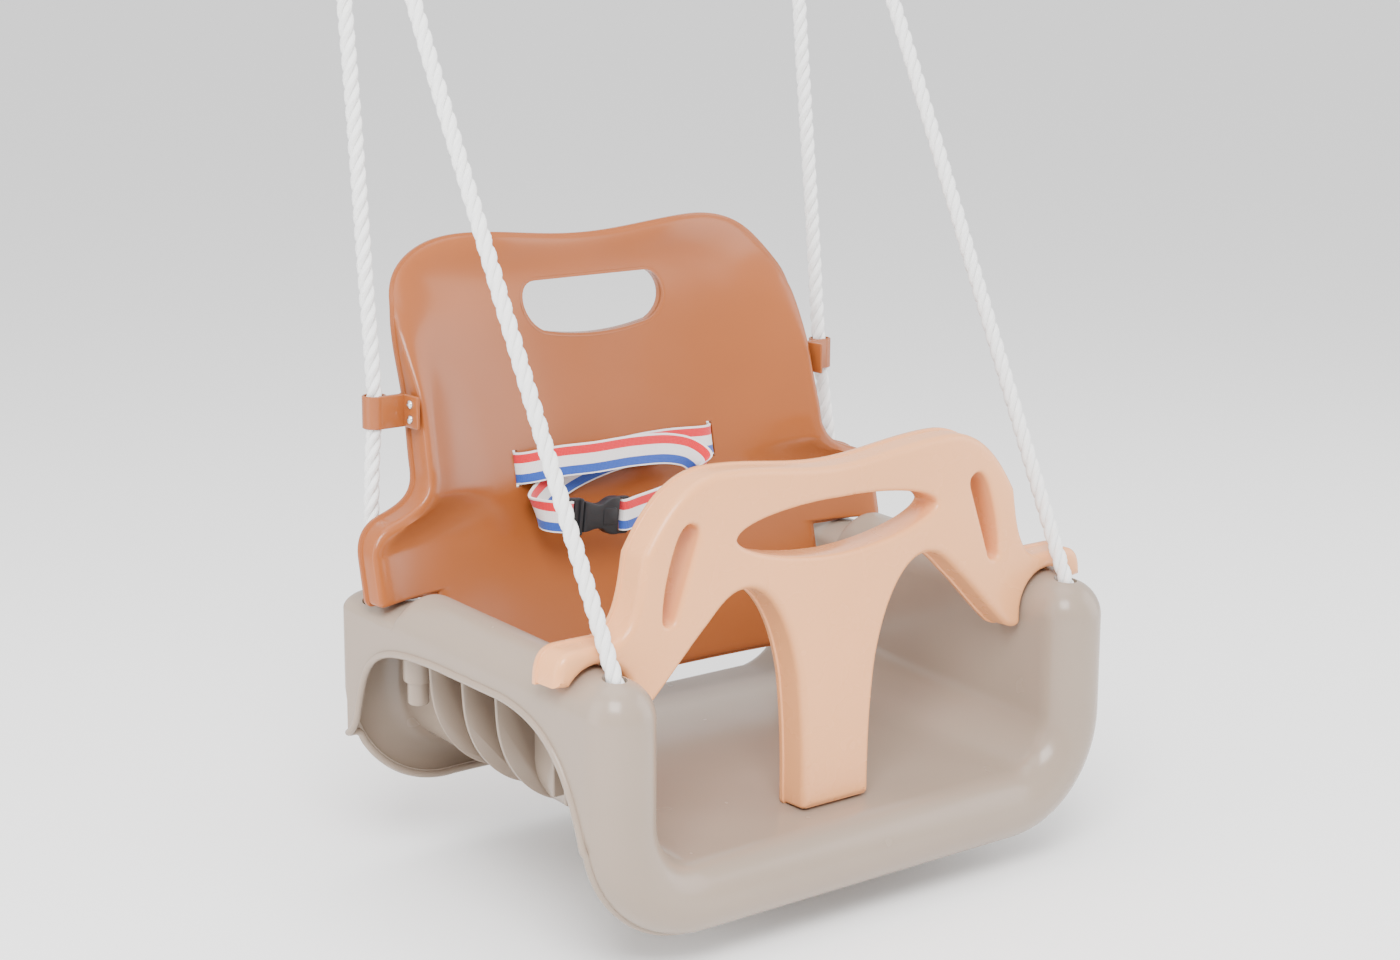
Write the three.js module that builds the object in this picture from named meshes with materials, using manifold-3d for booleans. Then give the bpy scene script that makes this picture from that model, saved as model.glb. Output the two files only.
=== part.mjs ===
// A toddler bucket swing: a moulded seat tub, a backrest and a front guard hung on two ropes, with a lap belt.
// Millimetres, +Z up, +X to the right and +Y to the back. The origin is midway between the two hanging rings.
// Seat coordinates, used by every function here, start instead midway between the two front rope holes.
import * as THREE from "three";
import { mergeVertices } from "three/addons/utils/BufferGeometryUtils.js";
import Module from "manifold-3d";

const wasm = await Module();
wasm.setup();

// Seat tub
const WALL = 3; // moulded wall
const RAIL_X = 176; // half the distance between the armrests' centrelines
const RAIL_R = 22; // half width of an armrest
const RAIL_Z = -19; // where an armrest's round top springs from its walls
const RISE = 0.052; // how steeply the floor and armrests climb to the back
const FLOOR_Z = -111.5; // top of the floor at the front
const BASE_LENGTH = 242; // from the front towers' centres to the rear lip
const FRONT_CORNER = 54; // corner radius of the front lip's centreline
const FRONT_LIP_R = 21; // half height of the front lip
const REAR_CORNER = 55;
const REAR_LIP_R = 12.5;
const REAR_BULGE = 12;
const LEDGE_START = 190; // the armrest ends here and the ledge under the backrest's foot begins
const LEDGE_H = 10; // the ledge's crown above RAIL_Z
const ARMREST_END = 12; // length of the armrest's rounded rear end
const RIB_PITCH = 34;
const RIB_FIRST_Y = 104;
const RIB_T = 2.4;
const BOSS_R = 9;
const BOSS_Y = 190;

// Ropes
const ROPE_D = 10;
const ROPE_HOLE_R = 7.5;
const THIMBLE_R = 22; // the rope's centreline round the thimble
const THIMBLE_Y = 249.8;
const THIMBLE_Z = 451.7;
const THIMBLE_BORE = 12;
const THIMBLE_W = 14;
const RING_R = 20;
const RING_WIRE_R = 3.5;
const RING_DROP = 7.8; // from the thimble's centre up to the ring's wire
const RING_X = 180;
const FRONT_KNOT_R = 9.2;
const REAR_KNOT_R = 9.5;
const ROPE_POINTS = [
  [175.8, -7.2, -14.5],
  [176, 0, 0],
  [177.2, 29.9, 60],
  [178.6, 64.8, 130],
  [180, 99.7, 200],
  [181.4, 134.6, 270],
  [182.4, 169.5, 340],
  [181.6, 204.4, 410],
  [180.6, 230.1, 461.5],
  [180.2, 238.9, 470.8],
  [180, 250.5, 473.7],
  [180, 262.4, 469.8],
  [179.8, 270, 460.2],
  [179.2, 271.7, 449.3],
  [178, 267.5, 411],
  [176.6, 259.9, 341],
  [176.6, 252.2, 271],
  [177.1, 244.6, 200],
  [177.7, 236.2, 114],
  [180.6, 235, 88],
  [184, 232, 52],
  [186.4, 229.6, 22],
  [186.4, 228.2, 2],
  [183.5, 226.5, -13],
];

// Backrest
const BACK_LEAN = 0.226; // how far it goes back for each millimetre up
const BACK_CURL = 7; // how much further its top edge goes back
const BACK_Y = 216; // the middle of its edge wall at BACK_Z
const BACK_Z = 60;
const BACK_EDGE = 9.5; // how far the rear rim lies behind that middle, and the front edge before it at the feet
const BACK_DISH = 16; // how far the dish's centre lies behind that middle
const BACK_ROUND = 14; // how far the front edge lies inside the outline at the top corners
const BACK_HALF_W = 157;
const BACK_TOP = 210.5;
const BACK_DIP = 6;
const BACK_CORNER = 66;
const SHOULDER_X = 201;
const SHOULDER_Z = 54;
const BACK_BOTTOM = -72;
const RIM_PROUD = 1.5;
const RIM_T = 3;
const HAND_HALF_W = 58;
const HAND_LOW = 143;
const HAND_HIGH = 179;
const SLOT_X = 78;
const SLOT_Z = 67;

// Guard
const GUARD_Y = 14.5; // its front face
const GUARD_DEPTH = 22;
const GUARD_WALL = 2.8;
const GUARD_ROUND = 3; // how far its front edges are rounded
const GUARD_TOP = 102.5;
const GUARD_HALF_W = 147;
const STEM_HALF_W = 26;
const LEG_ARCH_Z = 32;
const FOOT_END = 205;
const FOOT_TOP = 17;
const GUARD_LIFT = [0, 0.446, 0.895]; // it lifts off along the front ropes
const TONGUE_HALF_W = 15;
const TONGUE_T = 9;
const TONGUE_L = 9;

// Belt and rope clips
const WEB_W = 20;
const WEB_T = 1.6;
const BUCKLE_W = 24;
const CLIP_Z = 114;
const CLIP_H = 20;
const CLIP_T = 2.2;
const SCREW_HEAD_R = 2.6;

const GAP = 0.3; // clearance between pieces that touch

const plastic = (color, roughness) => new THREE.MeshStandardMaterial({ color, roughness, metalness: 0 });
const steel = new THREE.MeshStandardMaterial({ color: 0xb9bcc0, roughness: 0.3, metalness: 1 });
const greige = plastic(0xcfc6bb, 0.35);
const brown = plastic(0xb3693f, 0.32);
const peach = plastic(0xf0c4a0, 0.38);
const black = plastic(0x1b1b1d, 0.45);
const rope = plastic(0xf2f2f0, 0.9);
const webbing = plastic(0xd8232f, 0.85);

function vec(x, y, z) {
  return new THREE.Vector3(x, y, z);
}

// A three.js geometry as a manifold-3d solid.
function solid(geometry) {
  const bare = geometry.clone();
  bare.deleteAttribute("normal");
  bare.deleteAttribute("uv");
  const merged = mergeVertices(bare, 1e-4);
  const triVerts = new Uint32Array(merged.index.array);
  const vertProperties = new Float32Array(merged.attributes.position.array);
  return new wasm.Manifold(new wasm.Mesh({ numProp: 3, vertProperties, triVerts }));
}

function geometryOf(manifold) {
  const mesh = manifold.getMesh();
  const geometry = new THREE.BufferGeometry();
  geometry.setAttribute("position", new THREE.BufferAttribute(new Float32Array(mesh.vertProperties), 3));
  geometry.setIndex(new THREE.BufferAttribute(new Uint32Array(mesh.triVerts), 1));
  return geometry.toNonIndexed();
}

// A wall between two skins, each a list of rows of points. Rows may close on themselves, and so may their order.
function skins(outer, inner, { closedRows = false, closedColumns = false } = {}) {
  const rows = outer.length;
  const columns = outer[0].length;
  const points = [...outer.flat(), ...inner.flat()];
  const index = [];
  const at = (side, i, j) => side * rows * columns + (i % rows) * columns + (j % columns);
  const quad = (a, b, c, d) => index.push(a, b, c, a, c, d);
  const lastRow = closedColumns ? rows : rows - 1;
  const lastColumn = closedRows ? columns : columns - 1;
  for (let i = 0; i < lastRow; i++) {
    for (let j = 0; j < lastColumn; j++) {
      quad(at(0, i, j), at(0, i, j + 1), at(0, i + 1, j + 1), at(0, i + 1, j));
      quad(at(1, i, j), at(1, i + 1, j), at(1, i + 1, j + 1), at(1, i, j + 1));
    }
  }
  if (!closedRows) {
    for (let i = 0; i < lastRow; i++) {
      quad(at(0, i, 0), at(0, i + 1, 0), at(1, i + 1, 0), at(1, i, 0));
      quad(at(0, i, columns - 1), at(1, i, columns - 1), at(1, i + 1, columns - 1), at(0, i + 1, columns - 1));
    }
  }
  if (!closedColumns) {
    for (let j = 0; j < lastColumn; j++) {
      quad(at(0, 0, j), at(1, 0, j), at(1, 0, j + 1), at(0, 0, j + 1));
      quad(at(0, rows - 1, j), at(0, rows - 1, j + 1), at(1, rows - 1, j + 1), at(1, rows - 1, j));
    }
  }
  const geometry = new THREE.BufferGeometry().setFromPoints(points);
  geometry.setIndex(index);
  const made = solid(geometry);
  if (made.volume() > 0) return made;
  for (let k = 0; k < index.length; k += 3) index.splice(k, 3, index[k], index[k + 2], index[k + 1]);
  geometry.setIndex(index);
  return solid(geometry);
}

// An outline in the XZ plane, extruded along Y from y0 to y1.
function plate(shape, y0, y1, curveSegments = 12) {
  const geometry = new THREE.ExtrudeGeometry(shape, { depth: y1 - y0, bevelEnabled: false, curveSegments });
  geometry.rotateX(Math.PI / 2);
  geometry.translate(0, y1, 0);
  return solid(geometry);
}

function box(width, depth, height, x, y, z) {
  const geometry = new THREE.BoxGeometry(width, depth, height);
  geometry.translate(x, y, z);
  return solid(geometry);
}

// A cylinder about the direction from one point to another.
function rod(from, to, radius, sides = 20) {
  const along = to.clone().sub(from);
  const geometry = new THREE.CylinderGeometry(radius, radius, along.length(), sides);
  const turn = new THREE.Quaternion().setFromUnitVectors(vec(0, 1, 0), along.clone().normalize());
  geometry.applyQuaternion(turn);
  geometry.translate(...from.clone().add(to).multiplyScalar(0.5).toArray());
  return solid(geometry);
}

// The points without any that all but repeat the one before.
function distinct(points) {
  return points.filter((p, i) => i === 0 || p.distanceTo(points[i - 1]) > 0.2);
}

// The right half of an outline, from the top down, with its mirror image.
function mirrored(half) {
  const right = distinct(half);
  const left = right.filter((p) => Math.abs(p.x) > 1e-6).map((p) => new THREE.Vector2(-p.x, p.y));
  return [...right, ...left.reverse()].reverse();
}

// The outline moved out along its normals.
function offset(points, distance) {
  const turn = THREE.ShapeUtils.area(points) > 0 ? 1 : -1;
  return points.map((p, i) => {
    const before = points[(i + points.length - 1) % points.length];
    const after = points[(i + 1) % points.length];
    const a = p.clone().sub(before).normalize();
    const b = after.clone().sub(p).normalize();
    const normal = new THREE.Vector2(a.y + b.y, -(a.x + b.x)).normalize().multiplyScalar(turn);
    const stretch = 1 / Math.max(0.5, Math.sqrt((1 + a.dot(b)) / 2));
    return p.clone().addScaledVector(normal, distance * stretch);
  });
}

// --- Seat tub -------------------------------------------------------------------------------------------

// The rail's stations, right side only, from the middle of the front lip to the middle of the rear lip.
// Each has its centre, the direction across its channel, the direction it bulges, and its half width and bulge.
function railStations() {
  const stations = [];
  const add = (centre, across, bulge, a, b) => stations.push({ centre, across, bulge, a, b });
  const lip = (y, out, corner, lipR, b, floor, reverse) => {
    const middle = floor - lipR;
    const bend = vec(RAIL_X - corner, y, middle + corner);
    const part = [];
    part.push([vec(0, y, middle), vec(0, 0, -1), lipR]);
    for (let k = 0; k <= 6; k++) {
      const angle = (k / 6) * (Math.PI / 2);
      const across = vec(Math.sin(angle), 0, -Math.cos(angle));
      part.push([bend.clone().addScaledVector(across, corner), across, lipR + (RAIL_R - lipR) * (k / 6)]);
    }
    if (reverse) part.reverse();
    for (const [centre, across, a] of part) add(centre, across, out, a, b);
  };
  lip(0, vec(0, -1, 0), FRONT_CORNER, FRONT_LIP_R, RAIL_R, FLOOR_Z, false);
  for (let k = 0; k <= 4; k++) {
    const angle = (k / 4) * (Math.PI / 2);
    add(vec(RAIL_X, 0, RAIL_Z), vec(1, 0, 0), vec(0, -Math.cos(angle), Math.sin(angle)), RAIL_R, RAIL_R);
  }
  for (let k = 0; k <= 4; k++) {
    const t = k / 4;
    const b = LEDGE_H + (RAIL_R - LEDGE_H) * Math.sqrt(1 - t * t);
    add(vec(RAIL_X, LEDGE_START - ARMREST_END * (1 - t), RAIL_Z), vec(1, 0, 0), vec(0, 0, 1), RAIL_R, b);
  }
  for (let k = 0; k <= 3; k++) {
    const angle = (k / 3) * (Math.PI / 2);
    const up = vec(0, (REAR_BULGE / LEDGE_H) * Math.sin(angle), Math.cos(angle));
    add(vec(RAIL_X, BASE_LENGTH, RAIL_Z), vec(1, 0, 0), up, RAIL_R, LEDGE_H);
  }
  lip(BASE_LENGTH, vec(0, 1, 0), REAR_CORNER, REAR_LIP_R, REAR_BULGE, FLOOR_Z, true);
  return stations;
}

// The rounded channel that runs round the whole tub: front lip, towers, armrests, ledges and rear lip.
function rail() {
  const right = railStations();
  const flip = (v) => vec(-v.x, v.y, v.z);
  const left = right
    .filter((s) => Math.abs(s.centre.x) > 1e-6)
    .map((s) => ({ ...s, centre: flip(s.centre), across: flip(s.across) }));
  const loop = [...right, ...left.reverse()];
  const skin = (depth) =>
    loop.map(({ centre, across, bulge, a, b }) =>
      Array.from({ length: 11 }, (_, j) => {
        const angle = (j / 10) * Math.PI;
        const p = centre.clone().addScaledVector(across, (a - depth) * Math.cos(angle));
        return p.addScaledVector(bulge, (b - depth) * Math.sin(angle));
      }),
    );
  return skins(skin(0), skin(WALL), { closedColumns: true });
}

// The inside of the tub: it starts from the front lip's inner edge and ends at the rear lip's.
function trough() {
  const stations = railStations();
  const row = (lip, depth) => {
    const right = lip.map(({ centre, across, a }) => centre.clone().addScaledVector(across, depth - a));
    right.push(vec(RAIL_X - RAIL_R + depth, right[0].y, RAIL_Z));
    const left = right.slice(1).map((p) => vec(-p.x, p.y, p.z));
    return [...left.reverse(), ...right];
  };
  const front = stations.slice(0, 8);
  const rear = stations.slice(-8).reverse();
  return skins([row(front, 0), row(rear, 0)], [row(front, WALL), row(rear, WALL)]);
}

// The outer wall below an armrest, with its arched lower edge.
function skirt(side) {
  const shape = new THREE.Shape();
  shape.moveTo(0, RAIL_Z);
  shape.lineTo(0, -95);
  shape.bezierCurveTo(16, -52, 30, -27, 80, -26);
  shape.lineTo(140, -27);
  shape.bezierCurveTo(215, -30, 222, -42, 232, -80);
  shape.lineTo(BASE_LENGTH, -96);
  shape.lineTo(BASE_LENGTH, RAIL_Z);
  const geometry = new THREE.ExtrudeGeometry(shape, { depth: WALL, bevelEnabled: false, curveSegments: 8 });
  // The outline's first axis becomes Y and its second Z, and it is extruded along X.
  geometry.applyMatrix4(new THREE.Matrix4().set(0, 0, 1, 0, 1, 0, 0, 0, 0, 1, 0, 0, 0, 0, 0, 1));
  const x = side > 0 ? RAIL_X + RAIL_R - WALL : -RAIL_X - RAIL_R;
  geometry.translate(x, 0, 0);
  return solid(geometry);
}

// A rib between the tub's side and the armrest, with a rounded outer edge.
function rib(side, y) {
  const w = RAIL_X - RAIL_R + WALL - 1;
  const shape = new THREE.Shape();
  shape.moveTo(w, RAIL_Z - 1);
  shape.lineTo(w + 29, RAIL_Z - 1);
  shape.lineTo(w + 27, -50);
  shape.bezierCurveTo(w + 25, -82, w + 2, -102, w - 15, FLOOR_Z + 5);
  shape.lineTo(w - 17, FLOOR_Z + 6);
  shape.quadraticCurveTo(w - 1, -96, w, -74);
  const points = shape.getPoints(6).map((p) => new THREE.Vector2(side * p.x, p.y));
  return plate(new THREE.Shape(points), y - RIB_T / 2, y + RIB_T / 2);
}

// The stepped boss under each armrest.
function boss(side) {
  const x = side * (RAIL_X + 4);
  const upper = rod(vec(x, BOSS_Y, RAIL_Z + 6), vec(x, BOSS_Y, -52), BOSS_R);
  return upper.add(rod(vec(x, BOSS_Y, -51), vec(x, BOSS_Y, -66), BOSS_R - 2.5));
}

// Two small tabs near the front of the tub's side.
function tabs(side) {
  const x = side * (RAIL_X - RAIL_R + 6);
  return box(12, 3, 36, x, 74, -74).add(box(12, 3, 30, x, 62, -78));
}

// The hole for a rope, along the rope.
function ropeHole(side, from, to) {
  const point = ([x, y, z]) => vec(side * x, y, z);
  const along = point(to).sub(point(from)).normalize();
  const start = point(from).addScaledVector(along, -4);
  return rod(start, point(to).addScaledVector(along, 12), ROPE_HOLE_R);
}

// The stem's tongue below the guard, or the slot for it when it is grown by a clearance.
function tongue(grow) {
  const geometry = new THREE.BoxGeometry(2 * (TONGUE_HALF_W + grow), TONGUE_T + 2 * grow, TONGUE_L + 10);
  geometry.translate(0, 0, 5 - TONGUE_L / 2);
  const slide = GUARD_LIFT[1] / GUARD_LIFT[2];
  geometry.applyMatrix4(new THREE.Matrix4().set(1, 0, 0, 0, 0, 1, slide, 0, 0, 0, 1, 0, 0, 0, 0, 1));
  geometry.translate(0, GUARD_Y + GUARD_DEPTH / 2, stemBottom());
  return solid(geometry);
}

function stemBottom() {
  return FLOOR_Z + RISE * (GUARD_Y + GUARD_DEPTH) + GAP;
}

// The peg under each foot of the backrest, or its slot in the ledge.
function footPeg(side, grow) {
  const y = backMiddle(0) + 1;
  return box(24 + 2 * grow, 9 + 2 * grow, 20, side * 177, y, footBottom() + 2);
}

function footBottom() {
  return RAIL_Z + LEDGE_H + RISE * backMiddle(0) + RISE * BACK_EDGE + GAP;
}

function seatBase() {
  let level = rail().add(trough());
  for (const side of [-1, 1]) {
    level = level.add(skirt(side)).add(boss(side)).add(tabs(side));
    for (let k = 0; k < 3; k++) level = level.add(rib(side, RIB_FIRST_Y + k * RIB_PITCH));
  }
  const geometry = geometryOf(level);
  geometry.applyMatrix4(new THREE.Matrix4().set(1, 0, 0, 0, 0, 1, 0, 0, 0, RISE, 1, 0, 0, 0, 0, 1));
  let base = solid(geometry).subtract(tongue(1));
  for (const side of [-1, 1]) {
    base = base.subtract(ropeHole(side, ROPE_POINTS[0], ROPE_POINTS[1]));
    base = base.subtract(ropeHole(side, ROPE_POINTS[ROPE_POINTS.length - 1], ROPE_POINTS[ROPE_POINTS.length - 2]));
    base = base.subtract(footPeg(side, 0.6));
  }
  return base;
}

// --- Backrest -------------------------------------------------------------------------------------------

// The middle of the edge wall: it leans back, and a little further near the top.
function backMiddle(z) {
  return BACK_Y + BACK_LEAN * (z - BACK_Z) + BACK_CURL * THREE.MathUtils.smoothstep(z, 155, 195);
}

// The backrest's outline seen from the front.
function backOutline() {
  const path = new THREE.Path();
  const foot = footBottom() + RIM_PROUD;
  const wide = BACK_HALF_W - 1;
  const waist = BACK_HALF_W - 1.5;
  path.moveTo(0, BACK_TOP - BACK_DIP);
  path.bezierCurveTo(35, BACK_TOP - BACK_DIP, 60, BACK_TOP, wide - BACK_CORNER, BACK_TOP);
  path.bezierCurveTo(wide - 30, BACK_TOP, wide - 7, BACK_TOP - 14.5, wide, BACK_TOP - 47.5);
  path.bezierCurveTo(wide + 2, 152, waist, 135, waist, 118);
  path.bezierCurveTo(waist, 100, BACK_HALF_W, 90, BACK_HALF_W, 78);
  path.bezierCurveTo(BACK_HALF_W, 62, BACK_HALF_W + 11, SHOULDER_Z + 3, SHOULDER_X - 16, SHOULDER_Z - 2);
  path.bezierCurveTo(SHOULDER_X - 4, SHOULDER_Z - 6, SHOULDER_X, SHOULDER_Z - 14, SHOULDER_X, SHOULDER_Z - 24);
  path.lineTo(SHOULDER_X, foot);
  path.lineTo(RAIL_X - RAIL_R - 3, foot);
  path.lineTo(RAIL_X - RAIL_R - 3, BACK_BOTTOM + 12);
  path.quadraticCurveTo(RAIL_X - RAIL_R - 3, BACK_BOTTOM, RAIL_X - RAIL_R - 15, BACK_BOTTOM);
  return mirrored(path.getPoints(6));
}

// How far the front edge lies behind the middle of the edge wall.
function backCrest(z) {
  return -BACK_EDGE - 5 * THREE.MathUtils.smoothstep(z, 48, 80) + 17.5 * THREE.MathUtils.smoothstep(z, 115, 190);
}

// How far the front edge lies inside the outline: a little at the sides, most round the top corners.
function backInset(p) {
  const corner = 0.35 + 0.65 * THREE.MathUtils.smoothstep(Math.abs(p.x), 60, 120);
  return 2.5 + (BACK_ROUND - 2.5) * THREE.MathUtils.smoothstep(p.y, 112, 180) * corner;
}

// How far the dish's front surface lies behind the middle of the edge wall.
function backDepth(x, z) {
  const side = Math.min(1, Math.abs(x) / (z < SHOULDER_Z - 6 ? SHOULDER_X : BACK_HALF_W));
  const top = THREE.MathUtils.clamp((z - BACK_Z) / (BACK_TOP - 5 - BACK_Z), 0, 1);
  const edge = 1 - (1 - Math.pow(side, 3.2)) * (1 - Math.pow(top, 6));
  return BACK_DISH + (backCrest(z) - BACK_DISH) * edge;
}

function handHole() {
  const shape = new THREE.Shape();
  shape.moveTo(-HAND_HALF_W + 14, HAND_HIGH);
  shape.lineTo(HAND_HALF_W - 14, HAND_HIGH);
  shape.bezierCurveTo(HAND_HALF_W, HAND_HIGH, HAND_HALF_W + 3, HAND_HIGH - 22, HAND_HALF_W - 16, HAND_LOW + 5);
  shape.quadraticCurveTo(0, HAND_LOW - 4, -HAND_HALF_W + 16, HAND_LOW + 5);
  shape.bezierCurveTo(-HAND_HALF_W - 3, HAND_HIGH - 22, -HAND_HALF_W, HAND_HIGH, -HAND_HALF_W + 14, HAND_HIGH);
  return shape;
}

function backrest() {
  const outline = backOutline();
  const centre = new THREE.Vector2(0, 30);
  const crest = outline.map((p) => 1 - backInset(p) / p.distanceTo(centre));
  const depthAt = (q) => backDepth(q.x, q.y);
  const wall = outline.map((p, i) => depthAt(centre.clone().lerp(p, crest[i])) + 1.5 + 0.22 * backInset(p));
  const skin = (behind) => {
    const row = (share, depth) =>
      outline.map((p, i) => {
        const q = centre.clone().lerp(p, share(i));
        return vec(q.x, backMiddle(q.y) + depth(q, i) + behind, q.y);
      });
    const rounded = (q, i) => depthAt(q) + (wall[i] - depthAt(q)) * 0.3;
    return [
      row(() => 1, (q, i) => wall[i]),
      row((i) => 0.5 + 0.5 * crest[i], rounded),
      ...[1, 0.95, 0.86].map((part) => row((i) => part * crest[i], depthAt)),
      ...[0.68, 0.48, 0.28].map((share) => row(() => share, depthAt)),
    ];
  };
  let tray = skins(skin(0), skin(WALL), { closedRows: true });
  const middle = new THREE.Shape(outline.map((p) => centre.clone().lerp(p, 0.281)));
  const pad = new THREE.ExtrudeGeometry(middle, { depth: WALL, bevelEnabled: false });
  pad.rotateX(Math.PI / 2);
  pad.translate(0, backMiddle(centre.y) + BACK_DISH + WALL, 0);
  const lean = new THREE.Matrix4().set(1, 0, 0, 0, 0, 1, BACK_LEAN, -BACK_LEAN * centre.y, 0, 0, 1, 0, 0, 0, 0, 1);
  pad.applyMatrix4(lean);
  tray = tray.add(solid(pad));
  const rear = wall.map((front) => Math.max(BACK_EDGE, front + 3));
  const band = (out, thick, from) => {
    const row = (points, depth) => points.map((p, i) => vec(p.x, backMiddle(p.y) + depth[i], p.y));
    const rows = (points) => [row(points, from), row(points, rear)];
    return skins(rows(offset(outline, out)), rows(offset(outline, out - thick)), { closedRows: true });
  };
  tray = tray.add(band(0, WALL, wall));
  tray = tray.add(band(RIM_PROUD, WALL + RIM_PROUD, rear.map((depth) => depth - RIM_T)));
  tray = tray.subtract(plate(handHole(), 100, 400));
  for (const side of [-1, 1]) {
    tray = tray.subtract(box(4, 120, WEB_W + 3, side * SLOT_X, backMiddle(SLOT_Z), SLOT_Z));
    for (const k of [-1, 1]) tray = tray.subtract(screwHole(side, k, 1.9));
    tray = tray.add(footPeg(side, 0).intersect(box(500, 500, 20, 0, 200, footBottom() - 8)));
  }
  return tray;
}

// --- Guard ----------------------------------------------------------------------------------------------

function guardOutline() {
  const path = new THREE.Path();
  const saddle = { x: RAIL_X, z: RAIL_Z + 2.2, r: RAIL_R + 1.5 };
  path.moveTo(0, GUARD_TOP - 7);
  path.bezierCurveTo(30, GUARD_TOP - 7, 55, GUARD_TOP, 88, GUARD_TOP);
  path.bezierCurveTo(GUARD_HALF_W - 28, GUARD_TOP, GUARD_HALF_W - 12, GUARD_TOP - 26, GUARD_HALF_W - 3, 62);
  path.bezierCurveTo(GUARD_HALF_W, 46, GUARD_HALF_W + 2, FOOT_TOP + 2, GUARD_HALF_W + 20, FOOT_TOP);
  path.lineTo(FOOT_END - 14, FOOT_TOP);
  path.bezierCurveTo(FOOT_END - 4, FOOT_TOP, FOOT_END, FOOT_TOP - 6, FOOT_END, -2);
  const end = Math.acos((FOOT_END - 10 - saddle.x) / saddle.r);
  path.lineTo(saddle.x + saddle.r * Math.cos(end), saddle.z + saddle.r * Math.sin(end));
  path.absarc(saddle.x, saddle.z, saddle.r, end, Math.PI, false);
  path.lineTo(RAIL_X - RAIL_R - 1.5, -24);
  path.quadraticCurveTo(RAIL_X - RAIL_R - 4, -30, 140, -24);
  path.bezierCurveTo(122, -8, 112, 4, 98, 16);
  path.bezierCurveTo(86, 28, 80, LEG_ARCH_Z, 70, LEG_ARCH_Z);
  path.bezierCurveTo(52, LEG_ARCH_Z, STEM_HALF_W + 10, 6, STEM_HALF_W + 4, -30);
  path.bezierCurveTo(STEM_HALF_W + 1, -55, STEM_HALF_W, -70, STEM_HALF_W, stemBottom());
  return mirrored(path.getPoints(6));
}

function lens() {
  const path = new THREE.Path();
  path.moveTo(-78, 62);
  path.bezierCurveTo(-76, 72, -30, 77, 0, 76);
  path.bezierCurveTo(30, 77, 76, 72, 78, 62);
  path.bezierCurveTo(76, 54, 40, 43.5, 0, 43);
  path.bezierCurveTo(-40, 43.5, -76, 54, -78, 62);
  return distinct(path.getPoints(6).slice(0, -1));
}

function slit(side) {
  const path = new THREE.Path();
  path.moveTo(107, 74);
  path.bezierCurveTo(114, 80, 120, 72, 124, 60);
  path.bezierCurveTo(129, 46, 131, 34, 131, 24);
  path.bezierCurveTo(131, 19, 124, 18, 122, 24);
  path.lineTo(106, 68);
  path.quadraticCurveTo(105, 72, 107, 74);
  const points = distinct(path.getPoints(5).slice(0, -1));
  return points.map((p) => new THREE.Vector2(side * p.x, p.y));
}

function guard() {
  const outline = guardOutline();
  const holes = [lens(), slit(-1), slit(1)];
  const outer = new THREE.Shape(offset(outline, -GUARD_ROUND));
  outer.holes = holes.map((h) => new THREE.Path(offset(h, GUARD_ROUND)));
  const rounded = new THREE.ExtrudeGeometry(outer, {
    depth: GUARD_DEPTH,
    bevelThickness: GUARD_ROUND,
    bevelSize: GUARD_ROUND,
    bevelSegments: 2,
  });
  rounded.rotateX(Math.PI / 2);
  rounded.translate(0, GUARD_Y + GUARD_ROUND + GUARD_DEPTH, 0);
  const back = GUARD_Y + GUARD_DEPTH;
  const space = new THREE.Shape(offset(outline, -GUARD_WALL));
  space.holes = holes.map((h) => new THREE.Path(offset(h, GUARD_WALL)));
  const rim = new THREE.Shape(offset(outline, 1));
  rim.holes = [new THREE.Path(offset(outline, -GUARD_WALL))];
  let made = solid(rounded).intersect(box(600, GUARD_DEPTH, 600, 0, GUARD_Y + GUARD_DEPTH / 2, 0));
  made = made.subtract(plate(space, GUARD_Y + GUARD_WALL, back + 20));
  made = made.add(plate(rim, back - 3, back));
  const foot = box(2 * STEM_HALF_W - 4, GUARD_DEPTH - 4, 6, 0, GUARD_Y + GUARD_DEPTH / 2, stemBottom() + 3);
  const trim = box(600, 100, 100, 0, 0, stemBottom() - 50).subtract(tongue(0.05));
  return made.add(foot).add(tongue(0)).subtract(trim);
}

// --- Ropes ----------------------------------------------------------------------------------------------

function ropeCurve(side) {
  const curve = new THREE.CatmullRomCurve3(ROPE_POINTS.map(([x, y, z]) => vec(side * x, y, z)));
  curve.curveType = "centripetal";
  return curve;
}

function circle(radius, sides) {
  return new THREE.Shape(
    Array.from({ length: sides }, (_, k) => {
      const angle = (2 * Math.PI * k) / sides;
      return new THREE.Vector2(radius * Math.cos(angle), radius * Math.sin(angle));
    }),
  );
}

// The rope starts and ends at the faces of its two stopper knots.
function ropeTube(side) {
  const whole = ropeCurve(side);
  const tube = new THREE.ExtrudeGeometry(circle(ROPE_D / 2, 8), { extrudePath: whole, steps: 112, bevelEnabled: false });
  const knots = knot(side, 0, FRONT_KNOT_R + GAP).add(knot(side, 1, REAR_KNOT_R + GAP));
  return solid(tube).subtract(knots);
}

function knot(side, end, radius) {
  const [x, y, z] = ROPE_POINTS[end ? ROPE_POINTS.length - 1 : 0];
  const ball = new THREE.SphereGeometry(radius, 14, 8);
  ball.translate(side * x, y, z);
  return solid(ball);
}

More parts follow.
